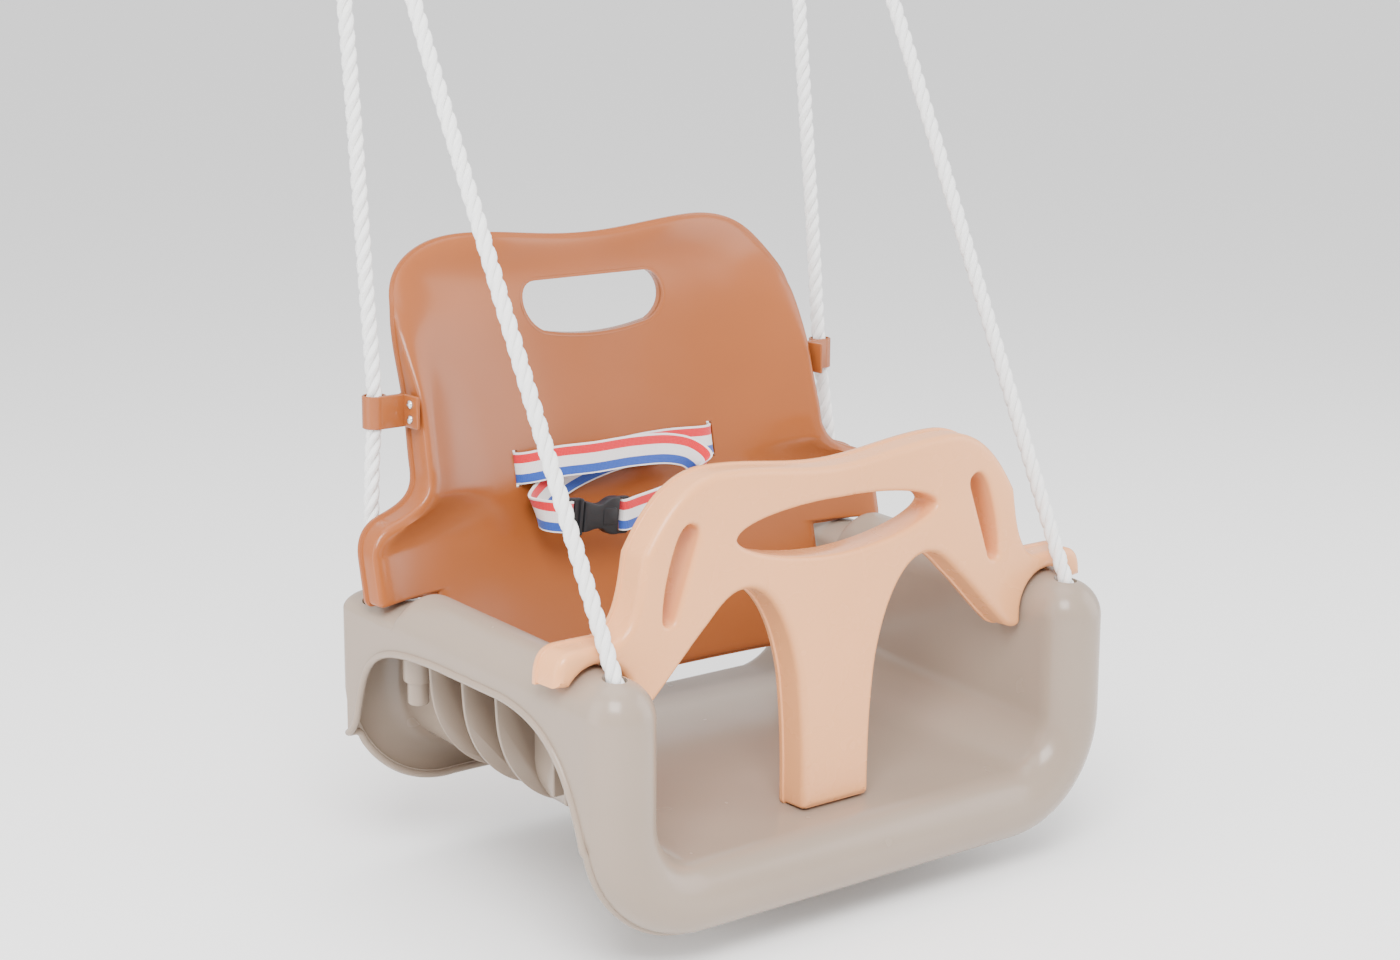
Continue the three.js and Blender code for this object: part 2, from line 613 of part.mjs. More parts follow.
function thimble() {
  const half = THIMBLE_W / 2;
  const tip = THIMBLE_R - 1.5;
  const groove = ROPE_D / 2 + 3 * GAP;
  const profile = [];
  profile.push(new THREE.Vector2(THIMBLE_BORE, -half / 2), new THREE.Vector2(THIMBLE_BORE + 1.5, -half));
  profile.push(new THREE.Vector2(tip, -half));
  for (let k = 0; k <= 6; k++) {
    const angle = (-0.5 + k / 6) * 2 * Math.acos(1.5 / groove);
    profile.push(new THREE.Vector2(THIMBLE_R - groove * Math.cos(angle), groove * Math.sin(angle)));
  }
  profile.push(new THREE.Vector2(tip, half));
  profile.push(new THREE.Vector2(THIMBLE_BORE + 1.5, half), new THREE.Vector2(THIMBLE_BORE, half / 2));
  profile.push(profile[0].clone());
  const geometry = new THREE.LatheGeometry(profile, 24);
  geometry.rotateZ(Math.PI / 2);
  return geometry;
}

function hangingRing() {
  const geometry = new THREE.TorusGeometry(RING_R, RING_WIRE_R, 8, 30);
  geometry.rotateX(Math.PI / 2);
  return geometry;
}

// --- Rope clips -----------------------------------------------------------------------------------------

// Where the rope passes the clip.
function clipCentre(side) {
  const point = ROPE_POINTS.find(([, , z]) => z === CLIP_Z);
  return vec(side * point[0], point[1], point[2]);
}

function clipWall(side) {
  return side * (BACK_HALF_W + RIM_PROUD + 3 * GAP);
}

function ropeClip(side) {
  const at = clipCentre(side);
  const low = at.clone().setZ(CLIP_Z - CLIP_H / 2);
  const high = at.clone().setZ(CLIP_Z + CLIP_H / 2);
  const outer = ROPE_D / 2 + GAP + CLIP_T;
  const wall = clipWall(side);
  const tab = box(CLIP_T, 20, CLIP_H, wall + (side * CLIP_T) / 2, at.y - 12, CLIP_Z);
  const reach = Math.abs(at.x - wall) + CLIP_T;
  const neck = box(reach - CLIP_T, 4, CLIP_H, at.x - (side * (reach - CLIP_T)) / 2, at.y - outer + 2, CLIP_Z);
  let clip = rod(low, high, outer, 24).add(neck).add(tab);
  clip = clip.subtract(rod(low.setZ(CLIP_Z - 40), high.setZ(CLIP_Z + 40), ROPE_D / 2 + 4 * GAP, 24));
  for (const k of [-1, 1]) clip = clip.subtract(screwHole(side, k, 1.9));
  return clip;
}

function screwPlace(side, k) {
  return vec(clipWall(side), clipCentre(side).y - 14.5, CLIP_Z + k * 4.5);
}

function screwHole(side, k, radius) {
  const at = screwPlace(side, k);
  return rod(at.clone().setX(at.x - side * 12), at.clone().setX(at.x + side * 12), radius, 16);
}

function clipScrew(side, k) {
  const at = screwPlace(side, k);
  const face = at.x + side * (CLIP_T + GAP);
  const shank = rod(at.clone().setX(at.x - side * 7), at.clone().setX(face + side * 0.5), 1.5, 12);
  const dome = new THREE.SphereGeometry(SCREW_HEAD_R, 16, 8);
  dome.scale(0.7, 1, 1);
  dome.translate(face, at.y, at.z);
  const outside = box(10, 20, 20, face + side * 5, at.y, at.z);
  return solid(dome).intersect(outside).add(shank);
}

// --- Lap belt -------------------------------------------------------------------------------------------

// Each row: middle of the webbing, then the direction of its width.
const LEFT_STRAP = [
  [-78, 243, 67, 0, 0.2, 1],
  [-78, 231, 67, 0, 0.2, 1],
  [-73, 225, 68, 0, 0.2, 1],
  [-55, 219, 70.5, 0, 0.15, 1],
  [-30, 214, 71, 0, 0.12, 1],
  [0, 212, 71.7, 0, 0.12, 1],
  [29, 211, 69.5, 0.04, 0.12, 1],
  [43, 208.5, 65, 0.08, 0.12, 1],
  [49.5, 203, 57.5, -0.2, 0.1, 0.98],
  [46, 198, 50, -0.45, 0.05, 0.88],
  [32, 195.5, 45, -0.3, 0.04, 0.95],
  [10, 194.8, 40.5, -0.15, 0, 0.98],
  [-10, 194.8, 37.4, 0, 0, 1],
  [-20.4, 195.2, 35.8, 0.1, 0, 1],
  [-21.7, 199.4, 35.5, 0.1, 0, 1],
];
const RIGHT_STRAP = [
  [78, 243, 67, 0, 0.2, 1],
  [78, 231, 67, 0, 0.2, 1],
  [72, 228, 67, 0, 0.2, 1],
  [40, 230.5, 68, 0, 0.2, 1],
  [0, 231, 66, 0, 0.2, 1],
  [-40, 228, 58, -0.2, 0.2, 0.97],
  [-64, 222.5, 49, -0.38, 0.15, 0.92],
  [-76, 214.5, 43.5, -0.35, 0.1, 0.93],
  [-76.5, 206, 42, -0.1, 0.05, 1],
  [-73, 199, 41.4, 0.05, 0.03, 1],
  [-67, 195.2, 40.8, 0.1, 0.02, 1],
  [-62.2, 195.4, 40.1, 0.1, 0, 1],
  [-60.4, 199.4, 39.4, 0.1, 0, 1],
];
const BUCKLE_AT = vec(-47, 199, 38);
const BUCKLE_TILT = 0.1; // its right end hangs lower

function strap(rows) {
  const middle = new THREE.CatmullRomCurve3(rows.map(([x, y, z]) => vec(x, y, z)));
  const width = new THREE.CatmullRomCurve3(rows.map(([, , , x, y, z]) => vec(x, y, z)));
  const steps = rows.length * 3;
  const sections = Array.from({ length: steps + 1 }, (_, k) => {
    const t = k / steps;
    const along = middle.getTangent(t);
    const across = width.getPoint(t);
    across.addScaledVector(along, -across.dot(along)).normalize();
    const normal = along.cross(across).normalize();
    const corner = (a, b) =>
      middle
        .getPoint(t)
        .addScaledVector(across, (a * WEB_W) / 2)
        .addScaledVector(normal, (b * WEB_T) / 2);
    return [
      [corner(-1, 1), corner(1, 1)],
      [corner(-1, -1), corner(1, -1)],
    ];
  });
  return skins(
    sections.map((s) => s[0]),
    sections.map((s) => s[1]),
  );
}

// The socket half of the buckle, with the mouth on its left.
function buckleSocket() {
  const shell = box(27, 8, BUCKLE_W, 9, 0, 0);
  const mouth = box(24, 4.8, BUCKLE_W - 8, 5.5, 0, 0);
  const windows = box(10, 4.8, BUCKLE_W + 4, 6.5, 0, 0);
  const eye = box(4.5, 12, WEB_W + 1.5, 25.5, 0, 0);
  const bar = box(12, 4, BUCKLE_W, 26.5, 0, 0).subtract(eye);
  return shell.subtract(mouth).subtract(windows).add(bar);
}

// The tongue half, with two prongs that click into the socket's side windows.
function buckleTongue() {
  let made = box(12, 4, BUCKLE_W, -12.5, 0, 0).subtract(box(4.5, 12, WEB_W + 1.5, -13.5, 0, 0));
  made = made.add(box(3, 6.4, BUCKLE_W, -6.4, 0, 0));
  made = made.add(box(20, 3, 3, 4, 0, 0));
  for (const side of [-1, 1]) {
    made = made.add(box(16, 3.2, 3, 2.4, 0, side * 5.7));
    made = made.add(box(7, 3.2, 3, 7, 0, side * 6.2));
  }
  return made;
}

// --- Assembly -------------------------------------------------------------------------------------------

const seat = new THREE.Group();
seat.position.set(0, -THIMBLE_Y, -(THIMBLE_Z + RING_DROP + RING_R));

function place(name, shape, material, parent = seat) {
  const geometry = shape.isBufferGeometry ? shape : geometryOf(shape);
  geometry.computeVertexNormals();
  const mesh = new THREE.Mesh(geometry, material);
  mesh.name = name;
  parent.add(mesh);
  return mesh;
}

place("seat_base", seatBase(), greige);
place("backrest", backrest(), brown);
place("front_guard", guard(), peach);
for (const [side, word] of [
  [-1, "left"],
  [1, "right"],
]) {
  place(`rope_${word}`, ropeTube(side), rope);
  place(`front_knot_${word}`, knot(side, 0, FRONT_KNOT_R), rope);
  place(`rear_knot_${word}`, knot(side, 1, REAR_KNOT_R), rope);
  place(`rope_thimble_${word}`, thimble(), steel).position.set(side * RING_X, THIMBLE_Y, THIMBLE_Z);
  const ring = place(`hanging_ring_${word}`, hangingRing(), steel);
  ring.position.set(side * RING_X, THIMBLE_Y, THIMBLE_Z + RING_DROP + RING_R);
  place(`rope_clip_${word}`, ropeClip(side), brown);
  place(`clip_screw_upper_${word}`, clipScrew(side, 1), steel);
  place(`clip_screw_lower_${word}`, clipScrew(side, -1), steel);
}
place("belt_strap_left", strap(LEFT_STRAP), webbing);
place("belt_strap_right", strap(RIGHT_STRAP), webbing);
const buckle = new THREE.Group();
buckle.position.copy(BUCKLE_AT);
buckle.rotation.y = BUCKLE_TILT;
seat.add(buckle);
place("buckle_socket", buckleSocket(), black, buckle);
place("buckle_tongue", buckleTongue(), black, buckle);

const swing = new THREE.Group();
swing.add(seat);

export default swing;
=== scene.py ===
import math

import bmesh
import bpy
import numpy as np
from mathutils import Matrix, Vector, geometry


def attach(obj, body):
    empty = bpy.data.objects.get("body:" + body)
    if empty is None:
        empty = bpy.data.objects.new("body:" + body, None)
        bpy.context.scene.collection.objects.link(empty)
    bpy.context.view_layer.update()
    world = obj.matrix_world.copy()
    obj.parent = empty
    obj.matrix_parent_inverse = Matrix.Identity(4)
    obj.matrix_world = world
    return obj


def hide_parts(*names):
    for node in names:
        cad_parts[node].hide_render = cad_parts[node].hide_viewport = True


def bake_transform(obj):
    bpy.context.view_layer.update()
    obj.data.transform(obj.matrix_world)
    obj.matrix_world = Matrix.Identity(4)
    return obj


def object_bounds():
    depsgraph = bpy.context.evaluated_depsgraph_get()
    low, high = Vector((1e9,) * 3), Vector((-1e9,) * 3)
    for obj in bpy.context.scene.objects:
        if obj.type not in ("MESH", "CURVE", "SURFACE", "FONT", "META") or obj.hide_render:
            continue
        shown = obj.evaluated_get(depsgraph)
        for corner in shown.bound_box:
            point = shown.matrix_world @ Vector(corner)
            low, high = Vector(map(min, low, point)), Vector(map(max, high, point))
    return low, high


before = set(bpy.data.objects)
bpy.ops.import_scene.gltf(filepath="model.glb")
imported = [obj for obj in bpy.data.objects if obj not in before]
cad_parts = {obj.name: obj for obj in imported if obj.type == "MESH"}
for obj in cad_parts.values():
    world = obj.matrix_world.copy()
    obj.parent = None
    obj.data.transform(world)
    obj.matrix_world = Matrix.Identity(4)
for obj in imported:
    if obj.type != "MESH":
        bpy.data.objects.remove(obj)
cad_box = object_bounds()

# Seat coordinates in millimetres, as in part.mjs; ORIGIN is midway between the hanging rings.
ORIGIN = np.array([0.0, 249.8, 479.5])
WALL, RAIL_X, RAIL_R, RAIL_Z, RISE = 3.0, 176.0, 22.0, -19.0, 0.052
FLOOR_Z, BASE_LENGTH = -111.5, 242.0
FRONT_CORNER, FRONT_LIP_R, REAR_CORNER, REAR_LIP_R, REAR_BULGE = 54.0, 21.0, 55.0, 12.5, 12.0
LEDGE_START, LEDGE_H, ARMREST_END = 190.0, 10.0, 12.0
BACK_LEAN, BACK_CURL, BACK_Y, BACK_Z, BACK_EDGE, BACK_DISH = 0.226, 7.0, 216.0, 60.0, 9.5, 16.0
BACK_ROUND, BACK_HALF_W, BACK_TOP, BACK_DIP, BACK_CORNER = 14.0, 157.0, 210.5, 6.0, 66.0
SHOULDER_X, SHOULDER_Z, BACK_BOTTOM = 201.0, 54.0, -72.0
GUARD_Y, GUARD_DEPTH, GUARD_WALL, GUARD_TOP, GUARD_HALF_W = 14.5, 22.0, 2.8, 102.5, 147.0
STEM_HALF_W, LEG_ARCH_Z, FOOT_END, FOOT_TOP = 26.0, 32.0, 205.0, 17.0
CLIP_Z, CLIP_H, CLIP_T = 114.0, 20.0, 2.2
ROPE_AT_CLIP_X, ROPE_AT_CLIP_Y = 177.7, 236.2
HANG_X, THIMBLE_Z, RING_R, RING_WIRE_R = 180.0, 451.7, 20.0, 3.5
FLOOR_HALF_M = 40.0
BUCKLE_AT, BUCKLE_TILT = np.array([-47.0, 199.0, 38.0]), 0.1
ROPE_POINTS = [
    (175.8, -7.2, -14.5), (176, 0, 0), (177.2, 29.9, 60), (178.6, 64.8, 130), (180, 99.7, 200),
    (181.4, 134.6, 270), (182.4, 169.5, 340), (181.6, 204.4, 410), (180.6, 230.1, 461.5),
    (180.2, 238.9, 470.8), (180, 250.5, 473.7),
    (180, 262.4, 469.8), (179.8, 270, 460.2), (179.2, 271.7, 449.3), (178, 267.5, 411), (176.6, 259.9, 341),
    (176.6, 252.2, 271), (177.1, 244.6, 200), (177.7, 236.2, 114), (180.6, 235, 88), (184, 232, 52),
    (186.4, 229.6, 22), (186.4, 228.2, 2), (183.5, 226.5, -13),
]
LEFT_STRAP = [
    (-78, 243, 67, 0, 0.2, 1), (-78, 231, 67, 0, 0.2, 1), (-73, 225, 68, 0, 0.2, 1),
    (-55, 219, 70.5, 0, 0.15, 1),
    (-30, 214, 71, 0, 0.12, 1), (0, 212, 71.7, 0, 0.12, 1), (29, 211, 69.5, 0.04, 0.12, 1),
    (43, 208.5, 65, 0.08, 0.12, 1), (49.5, 203, 57.5, -0.2, 0.1, 0.98), (46, 198, 50, -0.45, 0.05, 0.88),
    (32, 195.5, 45, -0.3, 0.04, 0.95), (10, 194.8, 40.5, -0.15, 0, 0.98), (-10, 194.8, 37.4, 0, 0, 1),
    (-20.4, 195.2, 35.8, 0.1, 0, 1), (-21.7, 199.4, 35.5, 0.1, 0, 1),
]
RIGHT_STRAP = [
    (78, 243, 67, 0, 0.2, 1), (78, 231, 67, 0, 0.2, 1), (72, 228, 67, 0, 0.2, 1), (40, 230.5, 68, 0, 0.2, 1),
    (0, 231, 66, 0, 0.2, 1), (-40, 228, 58, -0.2, 0.2, 0.97), (-64, 222.5, 49, -0.38, 0.15, 0.92),
    (-76, 214.5, 43.5, -0.35, 0.1, 0.93), (-76.5, 206, 42, -0.1, 0.05, 1), (-73, 199, 41.4, 0.05, 0.03, 1),
    (-67, 195.2, 40.8, 0.1, 0.02, 1), (-62.2, 195.4, 40.1, 0.1, 0, 1), (-60.4, 199.4, 39.4, 0.1, 0, 1),
]


# ---- Helpers ---------------------------------------------------------------------------------------------
def place(points):
    return (np.asarray(points, float) - ORIGIN) / 1000.0


def finish_mesh(name, verts, faces, body, material, node=None, angle=None, merge=1e-6):
    mesh = bpy.data.meshes.new(name)
    mesh.from_pydata([tuple(map(float, v)) for v in place(verts)], [], [tuple(map(int, f)) for f in faces])
    bm = bmesh.new()
    bm.from_mesh(mesh)
    if merge:
        bmesh.ops.remove_doubles(bm, verts=bm.verts, dist=merge)
    bmesh.ops.recalc_face_normals(bm, faces=bm.faces)
    bm.to_mesh(mesh)
    bm.free()
    obj = bpy.data.objects.new(name, mesh)
    bpy.context.scene.collection.objects.link(obj)
    mesh.materials.append(material)
    shade(obj, angle)
    if body:
        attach(obj, body)
    if node:
        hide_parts(node)
    return obj


def shade(obj, angle=None):
    obj.data.polygons.foreach_set("use_smooth", [True] * len(obj.data.polygons))
    if angle:
        obj.data.set_sharp_from_angle(angle=math.radians(angle))


def apply_modifiers(obj):
    graph = bpy.context.evaluated_depsgraph_get()
    mesh = bpy.data.meshes.new_from_object(obj.evaluated_get(graph))
    obj.modifiers.clear()
    obj.data = mesh
    return obj


def grid(rows, closed_rows=False, closed_cols=False, start=0):
    n, m = len(rows), len(rows[0])
    faces = []
    for i in range(n if closed_rows else n - 1):
        for j in range(m if closed_cols else m - 1):
            a, b = i * m + j, i * m + (j + 1) % m
            c, d = ((i + 1) % n) * m + (j + 1) % m, ((i + 1) % n) * m + j
            faces.append((start + a, start + b, start + c, start + d))
    return [p for row in rows for p in row], faces


def bezier(p0, p1, p2, p3, n):
    t = np.linspace(0, 1, n + 1)[1:, None]
    p0, p1, p2, p3 = (np.array(p, float) for p in (p0, p1, p2, p3))
    return (1 - t) ** 3 * p0 + 3 * (1 - t) ** 2 * t * p1 + 3 * (1 - t) * t**2 * p2 + t**3 * p3


def quadratic(p0, p1, p2, n):
    t = np.linspace(0, 1, n + 1)[1:, None]
    p0, p1, p2 = (np.array(p, float) for p in (p0, p1, p2))
    return (1 - t) ** 2 * p0 + 2 * (1 - t) * t * p1 + t**2 * p2


class Path:
    def __init__(self, x, z):
        self.p = [np.array([x, z], float)]

    def line(self, x, z):
        a = self.p[-1]
        b = np.array([x, z], float)
        n = max(1, int(np.linalg.norm(b - a) / 4))
        self.p += [a + (b - a) * (k + 1) / n for k in range(n)]
        return self

    def bez(self, *c, n=14):
        self.p += list(bezier(self.p[-1], c[0:2], c[2:4], c[4:6], n))
        return self

    def quad(self, *c, n=10):
        self.p += list(quadratic(self.p[-1], c[0:2], c[2:4], n))
        return self

    def arc(self, cx, cz, r, a0, a1, n=24):
        for a in np.linspace(a0, a1, n):
            self.p.append(np.array([cx + r * math.cos(a), cz + r * math.sin(a)]))
        return self


def distinct(points, gap=0.25):
    out = [points[0]]
    for p in points[1:]:
        if np.linalg.norm(p - out[-1]) > gap:
            out.append(p)
    return out


def mirrored(right):
    right = distinct(right)
    left = [np.array([-p[0], p[1]]) for p in right if abs(p[0]) > 1e-6][::-1]
    return np.array((right + left)[::-1])


def offset(points, distance):
    points = np.asarray(points)
    x, y = points[:, 0], points[:, 1]
    area = np.sum(x * np.roll(y, -1) - np.roll(x, -1) * y)
    turn = 1 if area > 0 else -1
    a = points - np.roll(points, 1, axis=0)
    b = np.roll(points, -1, axis=0) - points
    a /= np.linalg.norm(a, axis=1)[:, None]
    b /= np.linalg.norm(b, axis=1)[:, None]
    n = np.stack([a[:, 1] + b[:, 1], -(a[:, 0] + b[:, 0])], 1)
    n /= np.linalg.norm(n, axis=1)[:, None]
    stretch = 1 / np.maximum(0.5, np.sqrt((1 + (a * b).sum(1)) / 2))
    return points + turn * n * distance * stretch[:, None]


def catmull(points, per):
    p = [np.array(q, float) for q in points]
    p = [2 * p[0] - p[1]] + p + [2 * p[-1] - p[-2]]
    out = []
    for i in range(1, len(p) - 2):
        d = [max(1e-6, np.linalg.norm(p[i + k][:3] - p[i + k - 1][:3])) ** 0.5 for k in (0, 1, 2)]
        t0, t1 = 0.0, d[0]
        t2, t3 = t1 + d[1], t1 + d[1] + d[2]
        for k in range(per):
            t = t1 + (t2 - t1) * k / per
            a1 = (t1 - t) / (t1 - t0) * p[i - 1] + (t - t0) / (t1 - t0) * p[i]
            a2 = (t2 - t) / (t2 - t1) * p[i] + (t - t1) / (t2 - t1) * p[i + 1]
            a3 = (t3 - t) / (t3 - t2) * p[i + 1] + (t - t2) / (t3 - t2) * p[i + 2]
            b1 = (t2 - t) / (t2 - t0) * a1 + (t - t0) / (t2 - t0) * a2
            b2 = (t3 - t) / (t3 - t1) * a2 + (t - t1) / (t3 - t1) * a3
            out.append((t2 - t) / (t2 - t1) * b1 + (t - t1) / (t2 - t1) * b2)
    out.append(p[-2])
    return np.array(out)


def frames(path):
    tangent = np.gradient(path, axis=0)
    tangent /= np.linalg.norm(tangent, axis=1)[:, None]
    normal = np.cross(tangent[0], [0.3, 1, 0.2])
    normal /= np.linalg.norm(normal)
    out = []
    for t in tangent:
        normal = normal - t * normal.dot(t)
        normal /= np.linalg.norm(normal)
        out.append((normal.copy(), np.cross(t, normal)))
    return tangent, out


def sweep(path, radius, sides=10, closed=False, flat=1.0):
    _, axes = frames(path)
    rows = []
    for p, (u, v) in zip(path, axes):
        angles = np.arange(sides) * 2 * math.pi / sides
        rows.append([p + radius * (math.cos(a) * u + flat * math.sin(a) * v) for a in angles])
    verts, faces = grid(rows, closed_rows=closed, closed_cols=True)
    if not closed:
        faces.append(tuple(range(sides))[::-1])
        faces.append(tuple(len(verts) - sides + k for k in range(sides)))
    return verts, faces


def merge_parts(parts):
    verts, faces = [], []
    for v, f in parts:
        start = len(verts)
        verts += list(v)
        faces += [tuple(start + k for k in face) for face in f]
    return verts, faces


# ---- Materials -------------------------------------------------------------------------------------------
def nodes_of(name):
    material = bpy.data.materials.new(name)
    material.use_nodes = True
    tree = material.node_tree
    return material, tree, tree.nodes["Principled BSDF"]


def link(tree, a, b):
    tree.links.new(a, b)


def moulded(name, color, rough=0.3, grain=0.02, coat=0.08, tint=0.05, sub=0.05):
    material, tree, shader = nodes_of(name)
    coord = tree.nodes.new("ShaderNodeTexCoord")
    noise = tree.nodes.new("ShaderNodeTexNoise")
    noise.inputs["Scale"].default_value = 7.0
    noise.inputs["Detail"].default_value = 3.0
    link(tree, coord.outputs["Object"], noise.inputs["Vector"])
    ramp = tree.nodes.new("ShaderNodeValToRGB")
    low = [c * (1 - tint) for c in color]
    high = [min(1, c * (1 + tint)) for c in color]
    ramp.color_ramp.elements[0].position = 0.3
    ramp.color_ramp.elements[1].position = 0.7
    ramp.color_ramp.elements[0].color = (*low, 1)
    ramp.color_ramp.elements[1].color = (*high, 1)
    link(tree, noise.outputs["Fac"], ramp.inputs["Fac"])
    link(tree, ramp.outputs["Color"], shader.inputs["Base Color"])
    mottle = tree.nodes.new("ShaderNodeTexNoise")
    mottle.inputs["Scale"].default_value = 45.0
    link(tree, coord.outputs["Object"], mottle.inputs["Vector"])
    level = tree.nodes.new("ShaderNodeMapRange")
    level.inputs["To Min"].default_value = rough - 0.04
    level.inputs["To Max"].default_value = rough + 0.06
    link(tree, mottle.outputs["Fac"], level.inputs["Value"])
    link(tree, level.outputs["Result"], shader.inputs["Roughness"])
    fine = tree.nodes.new("ShaderNodeTexNoise")
    fine.inputs["Scale"].default_value = 900.0
    link(tree, coord.outputs["Object"], fine.inputs["Vector"])
    bump = tree.nodes.new("ShaderNodeBump")
    bump.inputs["Strength"].default_value = grain
    bump.inputs["Distance"].default_value = 0.0004
    link(tree, fine.outputs["Fac"], bump.inputs["Height"])
    link(tree, bump.outputs["Normal"], shader.inputs["Normal"])
    shader.inputs["Coat Weight"].default_value = coat
    shader.inputs["Coat Roughness"].default_value = 0.12
    shader.inputs["Specular IOR Level"].default_value = 0.35
    shader.inputs["Subsurface Weight"].default_value = sub
    shader.inputs["Subsurface Radius"].default_value = (0.006, 0.004, 0.003)
    return material


def metal(name, color, rough=0.25):
    material, tree, shader = nodes_of(name)
    shader.inputs["Metallic"].default_value = 1.0
    coord = tree.nodes.new("ShaderNodeTexCoord")
    noise = tree.nodes.new("ShaderNodeTexNoise")
    noise.inputs["Scale"].default_value = 260.0
    noise.inputs["Detail"].default_value = 5.0
    link(tree, coord.outputs["Object"], noise.inputs["Vector"])
    ramp = tree.nodes.new("ShaderNodeValToRGB")
    ramp.color_ramp.elements[0].color = (*[c * 0.85 for c in color], 1)
    ramp.color_ramp.elements[1].color = (*color, 1)
    link(tree, noise.outputs["Fac"], ramp.inputs["Fac"])
    link(tree, ramp.outputs["Color"], shader.inputs["Base Color"])
    level = tree.nodes.new("ShaderNodeMapRange")
    level.inputs["To Min"].default_value = rough - 0.08
    level.inputs["To Max"].default_value = rough + 0.1
    link(tree, noise.outputs["Fac"], level.inputs["Value"])
    link(tree, level.outputs["Result"], shader.inputs["Roughness"])
    return material


def fibre(name, color):
    material, tree, shader = nodes_of(name)
    coord = tree.nodes.new("ShaderNodeUVMap")
    coord.uv_map = "UVMap"
    wave = tree.nodes.new("ShaderNodeTexWave")
    wave.wave_type = "BANDS"
    wave.bands_direction = "Y"
    wave.inputs["Scale"].default_value = 4.0
    wave.inputs["Distortion"].default_value = 1.2
    wave.inputs["Detail"].default_value = 2.0
    link(tree, coord.outputs["UV"], wave.inputs["Vector"])
    ramp = tree.nodes.new("ShaderNodeValToRGB")
    ramp.color_ramp.elements[0].color = (*[c * 0.93 for c in color], 1)
    ramp.color_ramp.elements[1].color = (*color, 1)
    link(tree, wave.outputs["Fac"], ramp.inputs["Fac"])
    link(tree, ramp.outputs["Color"], shader.inputs["Base Color"])
    bump = tree.nodes.new("ShaderNodeBump")
    bump.inputs["Strength"].default_value = 0.35
    bump.inputs["Distance"].default_value = 0.0003
    link(tree, wave.outputs["Fac"], bump.inputs["Height"])
    link(tree, bump.outputs["Normal"], shader.inputs["Normal"])
    shader.inputs["Roughness"].default_value = 0.75
    shader.inputs["Sheen Weight"].default_value = 0.4
    shader.inputs["Subsurface Weight"].default_value = 0.15
    shader.inputs["Subsurface Radius"].default_value = (0.003, 0.003, 0.003)
    return material


def striped(name):
    """Webbing: stripes across V, ribs along U, in millimetres of real length."""
    material, tree, shader = nodes_of(name)
    uv = tree.nodes.new("ShaderNodeUVMap")
    uv.uv_map = "UVMap"
    split = tree.nodes.new("ShaderNodeSeparateXYZ")
    link(tree, uv.outputs["UV"], split.inputs["Vector"])
    ramp = tree.nodes.new("ShaderNodeValToRGB")
    ramp.color_ramp.interpolation = "CONSTANT"
    stops = [
        (0.0, (0.83, 0.80, 0.80)), (0.05, (0.015, 0.07, 0.40)), (0.32, (0.84, 0.80, 0.80)),
        (0.66, (0.72, 0.0, 0.015)), (0.93, (0.86, 0.80, 0.80)),
    ]
    elements = ramp.color_ramp.elements
    elements[0].position, elements[0].color = stops[0][0], (*stops[0][1], 1)
    elements[1].position, elements[1].color = stops[-1][0], (*stops[-1][1], 1)
    for at, color in stops[1:-1]:
        e = elements.new(at)
        e.color = (*color, 1)
    link(tree, split.outputs["Y"], ramp.inputs["Fac"])
    weave = tree.nodes.new("ShaderNodeTexWave")
    weave.wave_type = "BANDS"
    weave.bands_direction = "X"
    weave.inputs["Scale"].default_value = 0.32
    link(tree, uv.outputs["UV"], weave.inputs["Vector"])
    cross = tree.nodes.new("ShaderNodeTexWave")
    cross.wave_type = "BANDS"
    cross.bands_direction = "Y"
    cross.inputs["Scale"].default_value = 7.0
    link(tree, uv.outputs["UV"], cross.inputs["Vector"])
    both = tree.nodes.new("ShaderNodeMath")
    both.operation = "MULTIPLY"
    link(tree, weave.outputs["Fac"], both.inputs[0])
    link(tree, cross.outputs["Fac"], both.inputs[1])
    dark = tree.nodes.new("ShaderNodeMapRange")
    dark.inputs["To Min"].default_value = 0.86
    dark.inputs["To Max"].default_value = 1.06
    link(tree, both.outputs[0], dark.inputs["Value"])
    mix = tree.nodes.new("ShaderNodeVectorMath")
    mix.operation = "SCALE"
    link(tree, ramp.outputs["Color"], mix.inputs[0])
    link(tree, dark.outputs["Result"], mix.inputs["Scale"])
    link(tree, mix.outputs["Vector"], shader.inputs["Base Color"])
    bump = tree.nodes.new("ShaderNodeBump")
    bump.inputs["Strength"].default_value = 0.5
    bump.inputs["Distance"].default_value = 0.0004
    link(tree, both.outputs[0], bump.inputs["Height"])
    link(tree, bump.outputs["Normal"], shader.inputs["Normal"])
    shader.inputs["Roughness"].default_value = 0.8
    shader.inputs["Sheen Weight"].default_value = 0.3
    return material


GREIGE = moulded("seat_plastic", (0.29, 0.225, 0.175), rough=0.24)
BROWN = moulded("back_plastic", (0.30, 0.085, 0.022), rough=0.22)
PEACH = moulded("guard_plastic", (0.76, 0.34, 0.145), rough=0.26)
BLACK = moulded("buckle_plastic", (0.012, 0.012, 0.014), rough=0.42, grain=0.1, coat=0.0, sub=0.0)
STEEL = metal("zinc_steel", (0.66, 0.67, 0.69))
BRIGHT = metal("screw_steel", (0.72, 0.72, 0.73), 0.2)
ROPE = fibre("rope_fibre", (0.86, 0.86, 0.85))
WEBBING = striped("belt_webbing")

